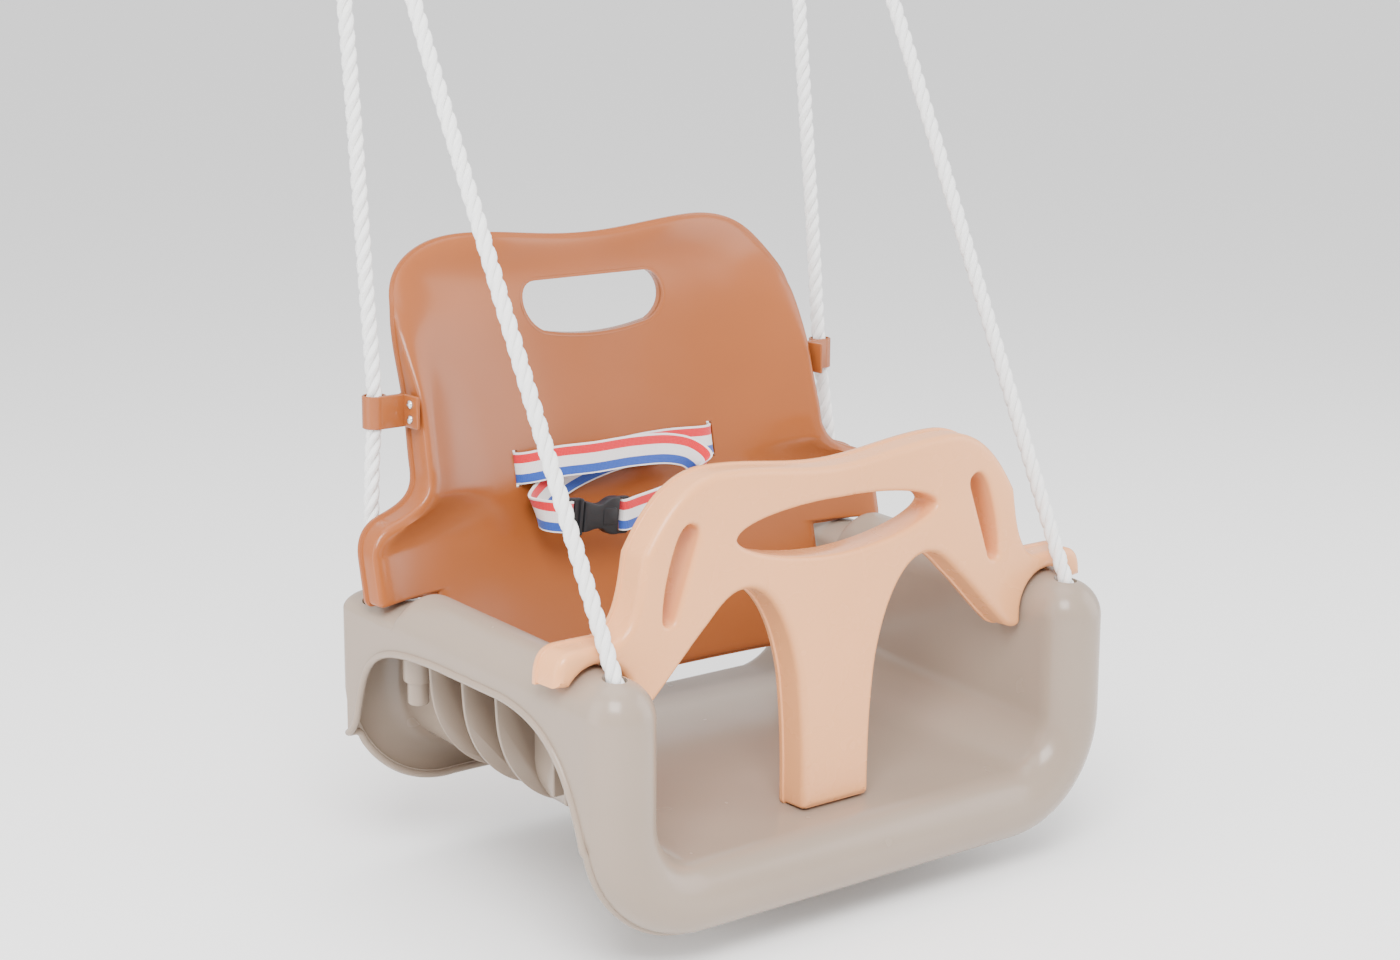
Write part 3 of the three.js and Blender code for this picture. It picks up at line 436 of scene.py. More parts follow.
# ---- Camera ----------------------------------------------------------------------------------------------
AZ, EL, ROLL = math.radians(39.07), math.radians(12.29), math.radians(0.3)
camera = bpy.data.objects.new("Camera", bpy.data.cameras.new("Camera"))
bpy.context.scene.collection.objects.link(camera)
camera.data.sensor_width = 36.0
camera.data.lens = 68.11
camera.data.clip_start = 0.05
forward = Vector((math.cos(EL) * math.sin(AZ), math.cos(EL) * math.cos(AZ), -math.sin(EL)))
camera.matrix_world = (
    Matrix.Translation(Vector(place([-1007.8, -1095.8, 412.4])))
    @ forward.to_track_quat("-Z", "Y").to_matrix().to_4x4()
    @ Matrix.Rotation(ROLL, 4, "Z")
)
bpy.context.scene.camera = camera


# ---- Ropes -----------------------------------------------------------------------------------------------
def resample(path, step):
    seg = np.linalg.norm(np.diff(path, axis=0), axis=1)
    s = np.concatenate([[0], np.cumsum(seg)])
    n = int(s[-1] / step)
    t = np.linspace(0, s[-1], n + 1)
    return np.stack([np.interp(t, s, path[:, k]) for k in range(3)], 1), s[-1]


LAY_MM, STRAND_AT, STRAND_R = 30.0, 2.6, 2.5


def twisted(path, hand=1):
    """Three strands laid round the path, as verts, faces and UVs per vertex."""
    _, axes = frames(path)
    step = np.linalg.norm(np.diff(path, axis=0), axis=1)
    s = np.concatenate([[0], np.cumsum(step)])
    parts, uvs = [], []
    for strand in range(3):
        line = []
        for p, (u, v), d in zip(path, axes, s):
            a = hand * 2 * math.pi * d / LAY_MM + strand * 2 * math.pi / 3
            line.append(p + STRAND_AT * (math.cos(a) * u + math.sin(a) * v))
        line = np.array(line)
        rows = []
        t2 = np.gradient(line, axis=0)
        t2 /= np.linalg.norm(t2, axis=1)[:, None]
        for p, q, t in zip(line, path, t2):
            out = p - q
            out -= t * out.dot(t)
            out /= np.linalg.norm(out)
            side = np.cross(t, out)
            row = []
            for k in range(10):
                a = k * math.pi / 5
                row.append(p + STRAND_R * (0.93 * math.cos(a) * out + 1.02 * math.sin(a) * side))
            rows.append(row)
        verts, faces = grid(rows, closed_cols=True)
        faces.append(tuple(range(10))[::-1])
        faces.append(tuple(len(verts) - 10 + k for k in range(10)))
        parts.append((verts, faces))
        uvs += [(d / 3.2 + k / 10.0 * 1.0, k / 10.0) for d in s for k in range(10)]
    verts, faces = merge_parts(parts)
    return verts, faces, uvs


def set_uv(obj, uvs):
    layer = obj.data.uv_layers.new(name="UVMap")
    for loop in obj.data.loops:
        layer.data[loop.index].uv = uvs[loop.vertex_index]


def rope(side, word):
    route = catmull([(side * x, y, z) for x, y, z in ROPE_POINTS], 14)
    path, total = resample(route, 1.9)
    verts, faces, uvs = twisted(path, 1)
    name = f"twisted_rope_{word}"
    obj = finish_mesh(name, verts, faces, "seat", ROPE, f"rope_{word}", merge=0)
    set_uv(obj, uvs)
    return total


rope_length = [rope(-1, "left"), rope(1, "right")]
print("rope lengths mm", rope_length)


def stopper(side, word, which):
    """An overhand stopper knot: a trefoil of the same rope."""
    end = ROPE_POINTS[0] if which == "front" else ROPE_POINTS[-1]
    size = 9.0 if which == "front" else 9.3
    t = np.linspace(0, 2 * math.pi, 97)[:-1]
    x = np.sin(t) + 2 * np.sin(2 * t)
    y = np.cos(t) - 2 * np.cos(2 * t)
    z = -np.sin(3 * t)
    k = (size - 3.0) / 3.0
    knot = np.stack([side * end[0] + k * x, end[1] + k * y, end[2] + 1.5 * k * z], 1)
    verts, faces = sweep(knot, 3.0, 10, closed=True)
    name, node = f"stopper_{which}_{word}", f"{which}_knot_{word}"
    obj = finish_mesh(name, verts, faces, "seat", ROPE, node)
    set_uv(obj, [(v.co.x * 300, v.co.z * 300) for v in obj.data.vertices])


for side, word in ((-1, "left"), (1, "right")):
    for which in ("front", "rear"):
        stopper(side, word, which)


# ---- Seat tub --------------------------------------------------------------------------------------------
def rail_stations():
    stations = []

    def add(centre, across, bulge, a, b):
        stations.append([np.array(v, float) for v in (centre, across, bulge)] + [a, b])

    def lip(y, out, corner, lip_r, b, reverse):
        middle = FLOOR_Z - lip_r
        part = [((RAIL_X - corner) * f, y, middle, (0, 0, -1), lip_r) for f in (0, 0.34, 0.67, 1.0)]
        for k in range(1, 17):
            t = k / 16 * math.pi / 2
            n = (math.sin(t), 0, -math.cos(t))
            part.append((RAIL_X - corner + corner * n[0], y, middle + corner + corner * n[2], n,
                         lip_r + (RAIL_R - lip_r) * k / 16))
        if reverse:
            part.reverse()
        for x, y0, z, n, a in part:
            add((x, y0, z), n, out, a, b)
        return len(part)

    count = lip(0, (0, -1, 0), FRONT_CORNER, FRONT_LIP_R, RAIL_R, False)
    for k in range(11):
        t = k / 10 * math.pi / 2
        add((RAIL_X, 0, RAIL_Z), (1, 0, 0), (0, -math.cos(t), math.sin(t)), RAIL_R, RAIL_R)
    for y in np.linspace(0, LEDGE_START - ARMREST_END, 13)[1:-1]:
        add((RAIL_X, y, RAIL_Z), (1, 0, 0), (0, 0, 1), RAIL_R, RAIL_R)
    for k in range(15):
        t = math.sin(k / 14 * math.pi / 2)
        b = LEDGE_H + (RAIL_R - LEDGE_H) * math.sqrt(max(0.0, 1 - t * t))
        add((RAIL_X, LEDGE_START - ARMREST_END * (1 - t), RAIL_Z), (1, 0, 0), (0, 0, 1), RAIL_R, b)
    for y in np.linspace(LEDGE_START, BASE_LENGTH, 7)[1:-1]:
        add((RAIL_X, y, RAIL_Z), (1, 0, 0), (0, 0, 1), RAIL_R, LEDGE_H)
    for k in range(7):
        t = k / 6 * math.pi / 2
        up = (0, REAR_BULGE / LEDGE_H * math.sin(t), math.cos(t))
        add((RAIL_X, BASE_LENGTH, RAIL_Z), (1, 0, 0), up, RAIL_R, LEDGE_H)
    lip(BASE_LENGTH, (0, 1, 0), REAR_CORNER, REAR_LIP_R, REAR_BULGE, True)
    return stations, count


def shear(verts):
    return [np.array([v[0], v[1], v[2] + RISE * v[1]]) for v in verts]


ARCH = Path(0, -92).bez(14, -54, 28, -27.5, 80, -26, n=16).line(140, -27)
ARCH.bez(213, -30, 220, -42, 230, -80, n=16).bez(232, -88, 236, -94, BASE_LENGTH, -97, n=8)
ARCH = np.array(ARCH.p)


def tub():
    stations, count = rail_stations()
    off_middle = [station for station in stations if abs(station[0][0]) > 1e-6]
    mirror = [[c * [-1, 1, 1], n * [-1, 1, 1], u, a, b] for c, n, u, a, b in off_middle][::-1]
    rows = []
    for centre, across, bulge, a, b in stations + mirror:
        row = []
        for j in range(29):
            t = j / 28 * math.pi
            row.append(centre + across * a * math.cos(t) + bulge * b * math.sin(t))
        rows.append(row)
    parts = [grid(rows, closed_rows=True)]
    front = [c - n * a for c, n, u, a, b in stations[:count]]
    rear = [c - n * a for c, n, u, a, b in stations[-count:]][::-1]
    lines = []
    for f, r in zip(front, rear):
        lines.append([f + (r - f) * k / 24 for k in range(25)])
    top = [np.array([RAIL_X - RAIL_R, y, RAIL_Z]) for y in np.linspace(0, BASE_LENGTH, 25)]
    last = lines[-1]
    for s in (0.34, 0.67, 1.0):
        lines.append([a + (b - a) * s for a, b in zip(last, top)])
    for side in (1, -1):
        parts.append(grid([[p * [side, 1, 1] for p in line] for line in lines]))
        skirt = []
        for y, z in ARCH:
            x = side * (RAIL_X + RAIL_R)
            skirt.append([np.array([x, y, RAIL_Z + (z - RAIL_Z) * k / 6]) for k in range(7)])
        parts.append(grid(skirt))
    verts, faces = merge_parts(parts)
    obj = finish_mesh("seat_tub", shear(verts), faces, None, GREIGE, merge=2e-5)
    solidify = obj.modifiers.new("wall", "SOLIDIFY")
    solidify.thickness = 0.003
    solidify.offset = -1
    bm = bmesh.new()
    bm.from_mesh(obj.data)
    above_floor = Vector(place([0, 120, FLOOR_Z + 6]))
    probe = min(bm.faces, key=lambda f: (f.calc_center_median() - above_floor).length)
    if probe.normal.z < 0:
        bmesh.ops.reverse_faces(bm, faces=bm.faces)
    bm.to_mesh(obj.data)
    bm.free()
    apply_modifiers(obj)
    return obj


def cutter(points):
    verts, faces = grid([points[0], points[1]], closed_cols=True)
    n = len(points[0])
    faces += [tuple(range(n))[::-1], tuple(range(n, 2 * n))]
    return finish_mesh("cutter", verts, faces, None, BROWN)


def cut(obj, tool):
    modifier = obj.modifiers.new("cut", "BOOLEAN")
    modifier.operation = "DIFFERENCE"
    modifier.solver = "EXACT"
    modifier.object = tool
    apply_modifiers(obj)
    bpy.data.objects.remove(tool)


def round_cutter(a, b, radius):
    a, b = np.array(a, float), np.array(b, float)
    d = (b - a) / np.linalg.norm(b - a)
    u = np.cross(d, [1, 0.2, 0])
    u /= np.linalg.norm(u)
    v = np.cross(d, u)
    rings = []
    for p in (a - 4 * d, b + 12 * d):
        rings.append([p + radius * (math.cos(t) * u + math.sin(t) * v) for t in np.arange(32) * math.pi / 16])
    return cutter(rings)


base = tub()
for side in (-1, 1):
    def at(i):
        return np.array(ROPE_POINTS[i]) * [side, 1, 1]
    cut(base, round_cutter(at(0), at(1), 6.6))
    cut(base, round_cutter(at(-1), at(-2), 7.0))
shade(base, 40)
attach(base, "seat")

# The outer lower edge carries a thick rounded bead all the way round.
stations, count = rail_stations()
right_front = [c + n * a for c, n, u, a, b in stations[:count]]
right_rear = [c + n * a for c, n, u, a, b in stations[-count:]]
arch = [np.array([RAIL_X + RAIL_R, y, z]) for y, z in ARCH]
keep_front = [p for p in right_front if p[2] < -92]
keep_rear = [p for p in right_rear if p[2] < -97]
half = keep_front + arch + keep_rear
loop = half + [p * [-1, 1, 1] for p in half[::-1] if p[0] > 1e-6]
loop = catmull(distinct(shear(loop), 2.0) + [shear(loop)[0]], 3)
bead, _ = resample(loop, 3.0)
verts, faces = sweep(bead[:-1], 2.3, 10, closed=True)
finish_mesh("seat_tub_bead", verts, faces, "seat", GREIGE)


def rib_plate(side, y):
    w = RAIL_X - RAIL_R + WALL - 1
    p = Path(w, RAIL_Z - 1).line(w + 29, RAIL_Z - 1).line(w + 27, -50)
    p.bez(w + 25, -82, w + 2, -102, w - 15, FLOOR_Z + 5, n=20).line(w - 17, FLOOR_Z + 6)
    p.quad(w - 1, -96, w, -74, n=12)
    outline = np.array(distinct(p.p))
    rows = []
    for t, inset in ((-1.2, 0.7), (-0.6, 0), (0.6, 0), (1.2, 0.7)):
        ring = offset(outline, -inset)
        rows.append([np.array([side * q[0], y + t, q[1]]) for q in ring])
    verts, faces = grid(rows, closed_cols=True)
    n = len(outline)
    faces += [tuple(range(n))[::-1], tuple(range(3 * n, 4 * n))]
    return shear(verts), faces


def lathe(profile, centre, axis="z", sides=32):
    rows = []
    for r, h in profile:
        row = []
        for k in range(sides):
            a = k * 2 * math.pi / sides
            c, s = r * math.cos(a), r * math.sin(a)
            row.append(np.array(centre) + (np.array([c, s, h]) if axis == "z" else np.array([h, c, s])))
        rows.append(row)
    verts, faces = grid(rows, closed_cols=True)
    m = len(rows)
    faces += [tuple(range(sides)), tuple((m - 1) * sides + k for k in range(sides))[::-1]]
    return verts, faces


parts = []
for side in (-1, 1):
    for k in range(3):
        parts.append(rib_plate(side, 104 + 34 * k))
    boss = [
        (9, -25), (9, -50.5), (8.4, -51.8), (6.8, -52.2), (6.5, -53), (6.5, -64.8), (5.8, -66), (0.1, -66),
    ]
    verts, faces = lathe(boss, (side * (RAIL_X + 4), 190, 0))
    parts.append((shear(verts), faces))
verts, faces = merge_parts(parts)
finish_mesh("seat_tub_ribs", verts, faces, "seat", GREIGE, angle=50, merge=0)


def rounded_box(name, size, centre, radius, body, material, segments=3, turn=None):
    bm = bmesh.new()
    bmesh.ops.create_cube(bm, size=1.0)
    bmesh.ops.scale(bm, vec=Vector(size) / 1000, verts=bm.verts)
    edges = bm.edges[:]
    bmesh.ops.bevel(bm, geom=edges, offset=radius / 1000, segments=segments, affect="EDGES", profile=0.5)
    if turn is not None:
        bmesh.ops.transform(bm, matrix=turn, verts=bm.verts)
    bmesh.ops.translate(bm, vec=Vector(place(centre)), verts=bm.verts)
    mesh = bpy.data.meshes.new(name)
    bm.to_mesh(mesh)
    bm.free()
    obj = bpy.data.objects.new(name, mesh)
    bpy.context.scene.collection.objects.link(obj)
    mesh.materials.append(material)
    shade(obj, 35)
    if body:
        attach(obj, body)
    return obj


for side, word in ((-1, "left"), (1, "right")):
    for k, (y, z, h) in enumerate(((74, -70, 34), (62, -75, 28))):
        at = (side * 160.5, y, z)
        rounded_box(f"tub_tab_{word}_{k}", (10, 3, h), at, 1.0, "seat", GREIGE)
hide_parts("seat_base")


# ---- Backrest --------------------------------------------------------------------------------------------
def smoothstep(x, a, b):
    t = min(1.0, max(0.0, (x - a) / (b - a)))
    return t * t * (3 - 2 * t)


def back_middle(z):
    return BACK_Y + BACK_LEAN * (z - BACK_Z) + BACK_CURL * smoothstep(z, 155, 195)


FOOT = RAIL_Z + LEDGE_H + RISE * (back_middle(0) + BACK_EDGE) + 0.3


def back_outline():
    foot = FOOT + 1.5
    p = Path(0, BACK_TOP - BACK_DIP)
    wide, waist = BACK_HALF_W - 1, BACK_HALF_W - 1.5
    p.bez(35, BACK_TOP - BACK_DIP, 60, BACK_TOP, wide - BACK_CORNER, BACK_TOP, n=20)
    p.bez(wide - 30, BACK_TOP, wide - 7, BACK_TOP - 14.5, wide, BACK_TOP - 47.5, n=24)
    p.bez(wide + 2, 152, waist, 135, waist, 118, n=12).bez(waist, 100, BACK_HALF_W, 90, BACK_HALF_W, 78, n=10)
    p.bez(BACK_HALF_W, 62, BACK_HALF_W + 11, SHOULDER_Z + 3, SHOULDER_X - 16, SHOULDER_Z - 2, n=16)
    p.bez(SHOULDER_X - 4, SHOULDER_Z - 6, SHOULDER_X, SHOULDER_Z - 14, SHOULDER_X, SHOULDER_Z - 24, n=12)
    p.line(SHOULDER_X, foot + 3).quad(SHOULDER_X, foot, SHOULDER_X - 3, foot, n=4)
    p.line(RAIL_X - RAIL_R, foot).quad(RAIL_X - RAIL_R - 3, foot, RAIL_X - RAIL_R - 3, foot - 3, n=4)
    p.line(RAIL_X - RAIL_R - 3, BACK_BOTTOM + 12)
    p.quad(RAIL_X - RAIL_R - 3, BACK_BOTTOM, RAIL_X - RAIL_R - 15, BACK_BOTTOM, n=8)
    p.line(2, BACK_BOTTOM)
    return mirrored(p.p)


def back_crest(z):
    return -BACK_EDGE - 5 * smoothstep(z, 48, 80) + 17.5 * smoothstep(z, 115, 190)


def back_inset(p):
    corner = 0.35 + 0.65 * smoothstep(abs(p[0]), 60, 120)
    return 2.5 + (BACK_ROUND - 2.5) * smoothstep(p[1], 112, 180) * corner


def back_depth(x, z):
    width = SHOULDER_X + (BACK_HALF_W - SHOULDER_X) * smoothstep(z, SHOULDER_Z - 22, SHOULDER_Z + 10)
    side = min(1.0, abs(x) / width)
    top = min(1.0, max(0.0, (z - BACK_Z) / (BACK_TOP - 5 - BACK_Z)))
    edge = 1 - (1 - side**3.2) * (1 - top**6)
    return BACK_DISH + (back_crest(z) - BACK_DISH) * edge


def hand_hole(grow=0.0):
    w, lo, hi = 58, 143, 179
    p = Path(-w + 14, hi).line(w - 14, hi).bez(w, hi, w + 3, hi - 22, w - 16, lo + 5, n=14)
    p.quad(0, lo - 4, -w + 16, lo + 5, n=18).bez(-w - 3, hi - 22, -w, hi, -w + 14, hi, n=14)
    return offset(np.array(distinct(p.p)[:-1]), grow)


def backrest():
    outline = back_outline()
    centre = np.array([0.0, 30.0])
    crest = [1 - back_inset(p) / np.linalg.norm(p - centre) for p in outline]
    edge = [back_depth(*(centre + (p - centre) * c)) for p, c in zip(outline, crest)]
    wall = [e + 1.5 + 0.22 * back_inset(p) for p, e in zip(outline, edge)]
    rear = [max(BACK_EDGE, w + 3) for w in wall]

    def on_dish(part, behind):
        row = []
        for p, c in zip(outline, crest):
            q = centre + (p - centre) * part * c
            row.append(np.array([q[0], back_middle(q[1]) + back_depth(*q) + behind, q[1]]))
        return row

    def rounded(t, behind, gap):
        """The rounded front edge, from the dish out to the wall."""
        row = []
        for p, c, w, r in zip(outline, crest, wall, rear):
            inner = centre + (p - centre) * 0.95 * c
            tip = 1 - (1 - c) * 0.35
            share = (1 - t) ** 2 * 0.95 * c + 2 * t * (1 - t) * tip + t * t
            end = min(w + 2, r - 3.3)
            at_crest = back_depth(*(centre + (p - centre) * c))
            depth = (1 - t) ** 2 * back_depth(*inner) + 2 * t * (1 - t) * at_crest + t * t * end
            q = centre + (p - centre) * (share - gap / np.linalg.norm(p - centre))
            row.append(np.array([q[0], back_middle(q[1]) + depth + behind, q[1]]))
        return row

    shares = [0.02, 0.08, 0.16, 0.25, 0.34, 0.43, 0.52, 0.6, 0.67, 0.74, 0.8, 0.85, 0.89, 0.92, 0.95]
    curve = [k / 9 for k in range(1, 10)]
    rows = [on_dish(share, 0) for share in shares] + [rounded(t, 0, 0) for t in curve]
    for grow, back in ((0, 3.1), (0.5, 2.9), (1.5, 2.6), (1.5, 0.6), (0.9, 0.0), (-1.2, 0.0), (-1.8, 0.5)):
        ring = offset(outline, grow)
        rows.append([np.array([p[0], back_middle(p[1]) + r - back, p[1]]) for p, r in zip(ring, rear)])
    rows += [rounded(t, 2.6, 2.6) for t in curve[:-1][::-1]]
    rows += [on_dish(share, WALL) for share in shares[::-1]]
    verts, faces = grid(rows, closed_cols=True)
    n = len(outline)
    faces += [tuple(range(n)), tuple(len(verts) - n + k for k in range(n))[::-1]]
    obj = finish_mesh("scooped_backrest", verts, faces, None, BROWN)
    hole = hand_hole()
    cut(obj, cutter([[np.array([p[0], y, p[1]]) for p in hole] for y in (180, 330)]))
    for side in (-1, 1):
        x, z = side * 78, 67
        slot = [(x - 2, z - 11.5), (x + 2, z - 11.5), (x + 2, z + 11.5), (x - 2, z + 11.5)]
        cut(obj, cutter([[np.array([p[0], y, p[1]]) for p in slot] for y in (180, 300)]))
    shade(obj, 38)
    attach(obj, "seat")
    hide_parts("backrest")
    # The hand hole's turned-back lip.
    lip = []
    profile = [(2.2, -0.15), (0.9, 0.1), (0.15, 0.9), (0, 2.0), (0, 7.0), (0.6, 8.0), (2.4, 8.0), (2.6, 4.0)]
    for grow, depth in profile:
        ring = hand_hole(grow)
        lip.append([np.array([p[0], back_middle(p[1]) + back_depth(p[0], p[1]) + depth, p[1]]) for p in ring])
    verts, faces = grid(lip, closed_cols=True)
    finish_mesh("hand_hole_lip", verts, faces, "seat", BROWN, angle=60)
    return obj


backrest()


# ---- Guard -----------------------------------------------------------------------------------------------
STEM_BOTTOM = FLOOR_Z + RISE * (GUARD_Y + GUARD_DEPTH) + 0.3


def guard_outline():
    sx, sz, sr = RAIL_X, RAIL_Z + 2.2, RAIL_R + 1.5
    p = Path(0, GUARD_TOP - 7).bez(30, GUARD_TOP - 7, 55, GUARD_TOP, 88, GUARD_TOP, n=18)
    p.bez(GUARD_HALF_W - 28, GUARD_TOP, GUARD_HALF_W - 12, GUARD_TOP - 26, GUARD_HALF_W - 3, 62, n=20)
    p.bez(GUARD_HALF_W, 46, GUARD_HALF_W + 2, FOOT_TOP + 2, GUARD_HALF_W + 20, FOOT_TOP, n=18)
    p.line(FOOT_END - 14, FOOT_TOP).bez(FOOT_END - 4, FOOT_TOP, FOOT_END, FOOT_TOP - 6, FOOT_END, -2, n=12)
    end = math.acos((FOOT_END - 10 - sx) / sr)
    p.line(sx + sr * math.cos(end), sz + sr * math.sin(end)).arc(sx, sz, sr, end, math.pi, 22)
    p.line(RAIL_X - RAIL_R - 1.5, -24).quad(RAIL_X - RAIL_R - 4, -30, 140, -24, n=8)
    p.bez(122, -8, 112, 4, 98, 16, n=12).bez(86, 28, 80, LEG_ARCH_Z, 70, LEG_ARCH_Z, n=12)
    p.bez(52, LEG_ARCH_Z, STEM_HALF_W + 10, 6, STEM_HALF_W + 4, -30, n=18)
    p.bez(STEM_HALF_W + 1, -55, STEM_HALF_W, -70, STEM_HALF_W, STEM_BOTTOM + 3, n=12)
    p.quad(STEM_HALF_W, STEM_BOTTOM, STEM_HALF_W - 3, STEM_BOTTOM, n=4).line(2, STEM_BOTTOM)
    return mirrored(p.p)


def lens():
    p = Path(-78, 62).bez(-76, 72, -30, 77, 0, 76, n=18).bez(30, 77, 76, 72, 78, 62, n=18)
    p.bez(76, 54, 40, 43.5, 0, 43, n=18).bez(-40, 43.5, -76, 54, -78, 62, n=18)
    return np.array(distinct(p.p)[:-1])


def slit(side):
    p = Path(107, 74).bez(114, 80, 120, 72, 124, 60, n=10).bez(129, 46, 131, 34, 131, 24, n=10)
    p.bez(131, 19, 124, 18, 122, 24, n=8).line(106, 68).quad(105, 72, 107, 74, n=5)
    return np.array([np.array([side * q[0], q[1]]) for q in distinct(p.p)[:-1]])


def fill(outline, holes, y):
    """A flat face with holes, triangulated on the points of its outline and holes."""
    rings = [outline] + holes
    points, edges = [], []
    for ring in rings:
        start = len(points)
        points += [Vector((float(q[0]), float(q[1]))) for q in ring]
        edges += [(start + k, start + (k + 1) % len(ring)) for k in range(len(ring))]
    got = geometry.delaunay_2d_cdt(points, edges, [], 0, 1e-5)
    verts, tris = got[0], got[2]

    def inside(q, ring):
        x, z = ring[:, 0], ring[:, 1]
        x2, z2 = np.roll(x, -1), np.roll(z, -1)
        hit = (z > q[1]) != (z2 > q[1])
        with np.errstate(divide="ignore", invalid="ignore"):
            cross = x + (q[1] - z) / (z2 - z) * (x2 - x)
        return bool(np.sum(hit & (q[0] < cross)) % 2)

    faces = []
    for t in tris:
        c = sum((np.array(verts[k]) for k in t), np.zeros(2)) / len(t)
        if inside(c, outline) and not any(inside(c, h) for h in holes):
            faces.append(tuple(t))
    return [np.array([v[0], y, v[1]]) for v in verts], faces


def signed_area(h):
    return np.sum(h[:, 0] * np.roll(h[:, 1], -1) - np.roll(h[:, 0], -1) * h[:, 1])


def guard():
    outline, holes = guard_outline(), [lens(), slit(-1), slit(1)]
    back, r, wall = GUARD_Y + GUARD_DEPTH, 5.0, GUARD_WALL
    holes = [h if signed_area(h) > 0 else h[::-1] for h in holes]

    def ring(points, grow, y):
        return [np.array([q[0], y, q[1]]) for q in offset(points, grow)]

    parts = []
    steps = [k / 7 * math.pi / 2 for k in range(8)]
    for points, sign, lip in [(outline, -1, 1.0)] + [(h, 1, 0.0) for h in holes]:
        rr = r if sign < 0 else 3.2
        rows = [ring(points, sign * rr * (1 - math.sin(t)), GUARD_Y + rr * (1 - math.cos(t))) for t in steps]
        if lip:
            rim = [(0, 3.6), (0.4, 3.2), (1.0, 3.0), (1.0, 0.6), (0.6, 0.0), (-wall + 0.4, 0.0), (-wall, 0.4)]
            rows += [ring(points, g, back - b) for g, b in rim]
        else:
            rim = [(0, 0.5), (0.4, 0.0), (wall - 0.4, 0.0), (wall, 0.4)]
            rows += [ring(points, g, back - b) for g, b in rim]
        rows.append(ring(points, sign * (wall + 0.2), GUARD_Y + wall + 2.0))
        rows.append(ring(points, sign * (rr + 0.6), GUARD_Y + wall))
        parts.append(grid(rows, closed_cols=True))
    front = [offset(outline, -r)] + [offset(h, 3.2) for h in holes]
    parts.append(fill(front[0], front[1:], GUARD_Y))
    rear = [offset(outline, -r - 0.6)] + [offset(h, 3.8) for h in holes]
    parts.append(fill(rear[0], rear[1:], GUARD_Y + wall))
    verts, faces = merge_parts(parts)
    slot, node = "guard_plastic", "front_guard"
    return finish_mesh("arched_guard", verts, faces, "guard", PEACH, node, angle=42, merge=2e-6)


guard()
rounded_box("guard_stem_tongue", (30, 9, 9), (0, 25.5, STEM_BOTTOM - 4), 1.5, "guard", PEACH)
sole_at = (0, 25.5, STEM_BOTTOM + 1.8)
rounded_box("guard_stem_sole", (48, 19, 3), sole_at, 1.2, "guard", PEACH)


# ---- Belt ------------------------------------------------------------------------------------------------
def strap(rows, name, body, node, width=20.0, thick=1.6):
    path = catmull([r[:3] for r in rows], 10)
    lean = catmull([np.array(r[3:]) * 100 for r in rows], 10)
    n = min(len(path), len(lean))
    path, lean = path[:n], lean[:n]
    tangent = np.gradient(path, axis=0)
    tangent /= np.linalg.norm(tangent, axis=1)[:, None]
    s = np.concatenate([[0], np.cumsum(np.linalg.norm(np.diff(path, axis=0), axis=1))])
    top = [-0.985, -0.5, 0, 0.5, 0.985]
    shape = [(-1, 0)] + [(a, 1) for a in top] + [(1, 0)] + [(a, -1) for a in top[::-1]]
    grid_rows, uv = [], []
    for p, w, t, d in zip(path, lean, tangent, s):
        w = w - t * w.dot(t)
        w /= np.linalg.norm(w)
        normal = np.cross(t, w)
        grid_rows.append([p + w * a * width / 2 + normal * b * thick / 2 for a, b in shape])
        uv += [(d, (a + 1) / 2) for a, b in shape]
    verts, faces = grid(grid_rows, closed_cols=True)
    m = len(shape)
    faces += [tuple(range(m))[::-1], tuple(len(verts) - m + k for k in range(m))]
    obj = finish_mesh(name, verts, faces, body, WEBBING, node, angle=60, merge=0)
    set_uv(obj, uv)
    return obj, s[-1]


strap_left, left_mm = strap(LEFT_STRAP, "lap_strap_left", "seat", "belt_strap_left")
strap_right, right_mm = strap(RIGHT_STRAP, "lap_strap_right", None, None)
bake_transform(strap_right)
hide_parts("belt_strap_right")
print("strap lengths mm", left_mm, right_mm)

TURN = Matrix.Rotation(BUCKLE_TILT, 4, "Y")


def buckle_point(x, y, z):
    v = TURN @ Vector((0.8 * x, 0.87 * y, 0.8 * z))
    return BUCKLE_AT + np.array([v.x, v.y, v.z])


def buckle_piece(name, outline, half, radius, body, at=(0, 0, 0), holes=()):
    """A flat moulding: an outline in X and Z, rounded over its front and back edges."""
    outline = np.array(outline, float)
    rows = []
    for y, inset in ((-half, radius), (-half + radius * 0.3, radius * 0.3), (-half + radius, 0),
                     (half - radius, 0), (half - radius * 0.3, radius * 0.3), (half, radius)):
        rows.append([buckle_point(q[0] + at[0], y + at[1], q[1] + at[2]) for q in offset(outline, -inset)])
    verts, faces = grid(rows, closed_cols=True)
    n = len(outline)
    faces += [tuple(range(n)), tuple(len(verts) - n + k for k in range(n))[::-1]]
    obj = finish_mesh(name, verts, faces, None, BLACK)
    for hole in holes:
        rings = [[buckle_point(q[0] + at[0], y, q[1] + at[2]) for q in hole] for y in (-30, 30)]
        cut(obj, cutter(rings))
    shade(obj, 35)
    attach(obj, body)
    return obj


def rect(x0, x1, z0, z1, r=1.5, n=4):
    pts = []
    corners = [(x1 - r, z1 - r, 0), (x0 + r, z1 - r, 90), (x0 + r, z0 + r, 180), (x1 - r, z0 + r, 270)]
    for cx, cz, a in corners:
        for k in range(n + 1):
            t = math.radians(a + 90 * k / n)
            pts.append((cx + r * math.cos(t), cz + r * math.sin(t)))
    return pts
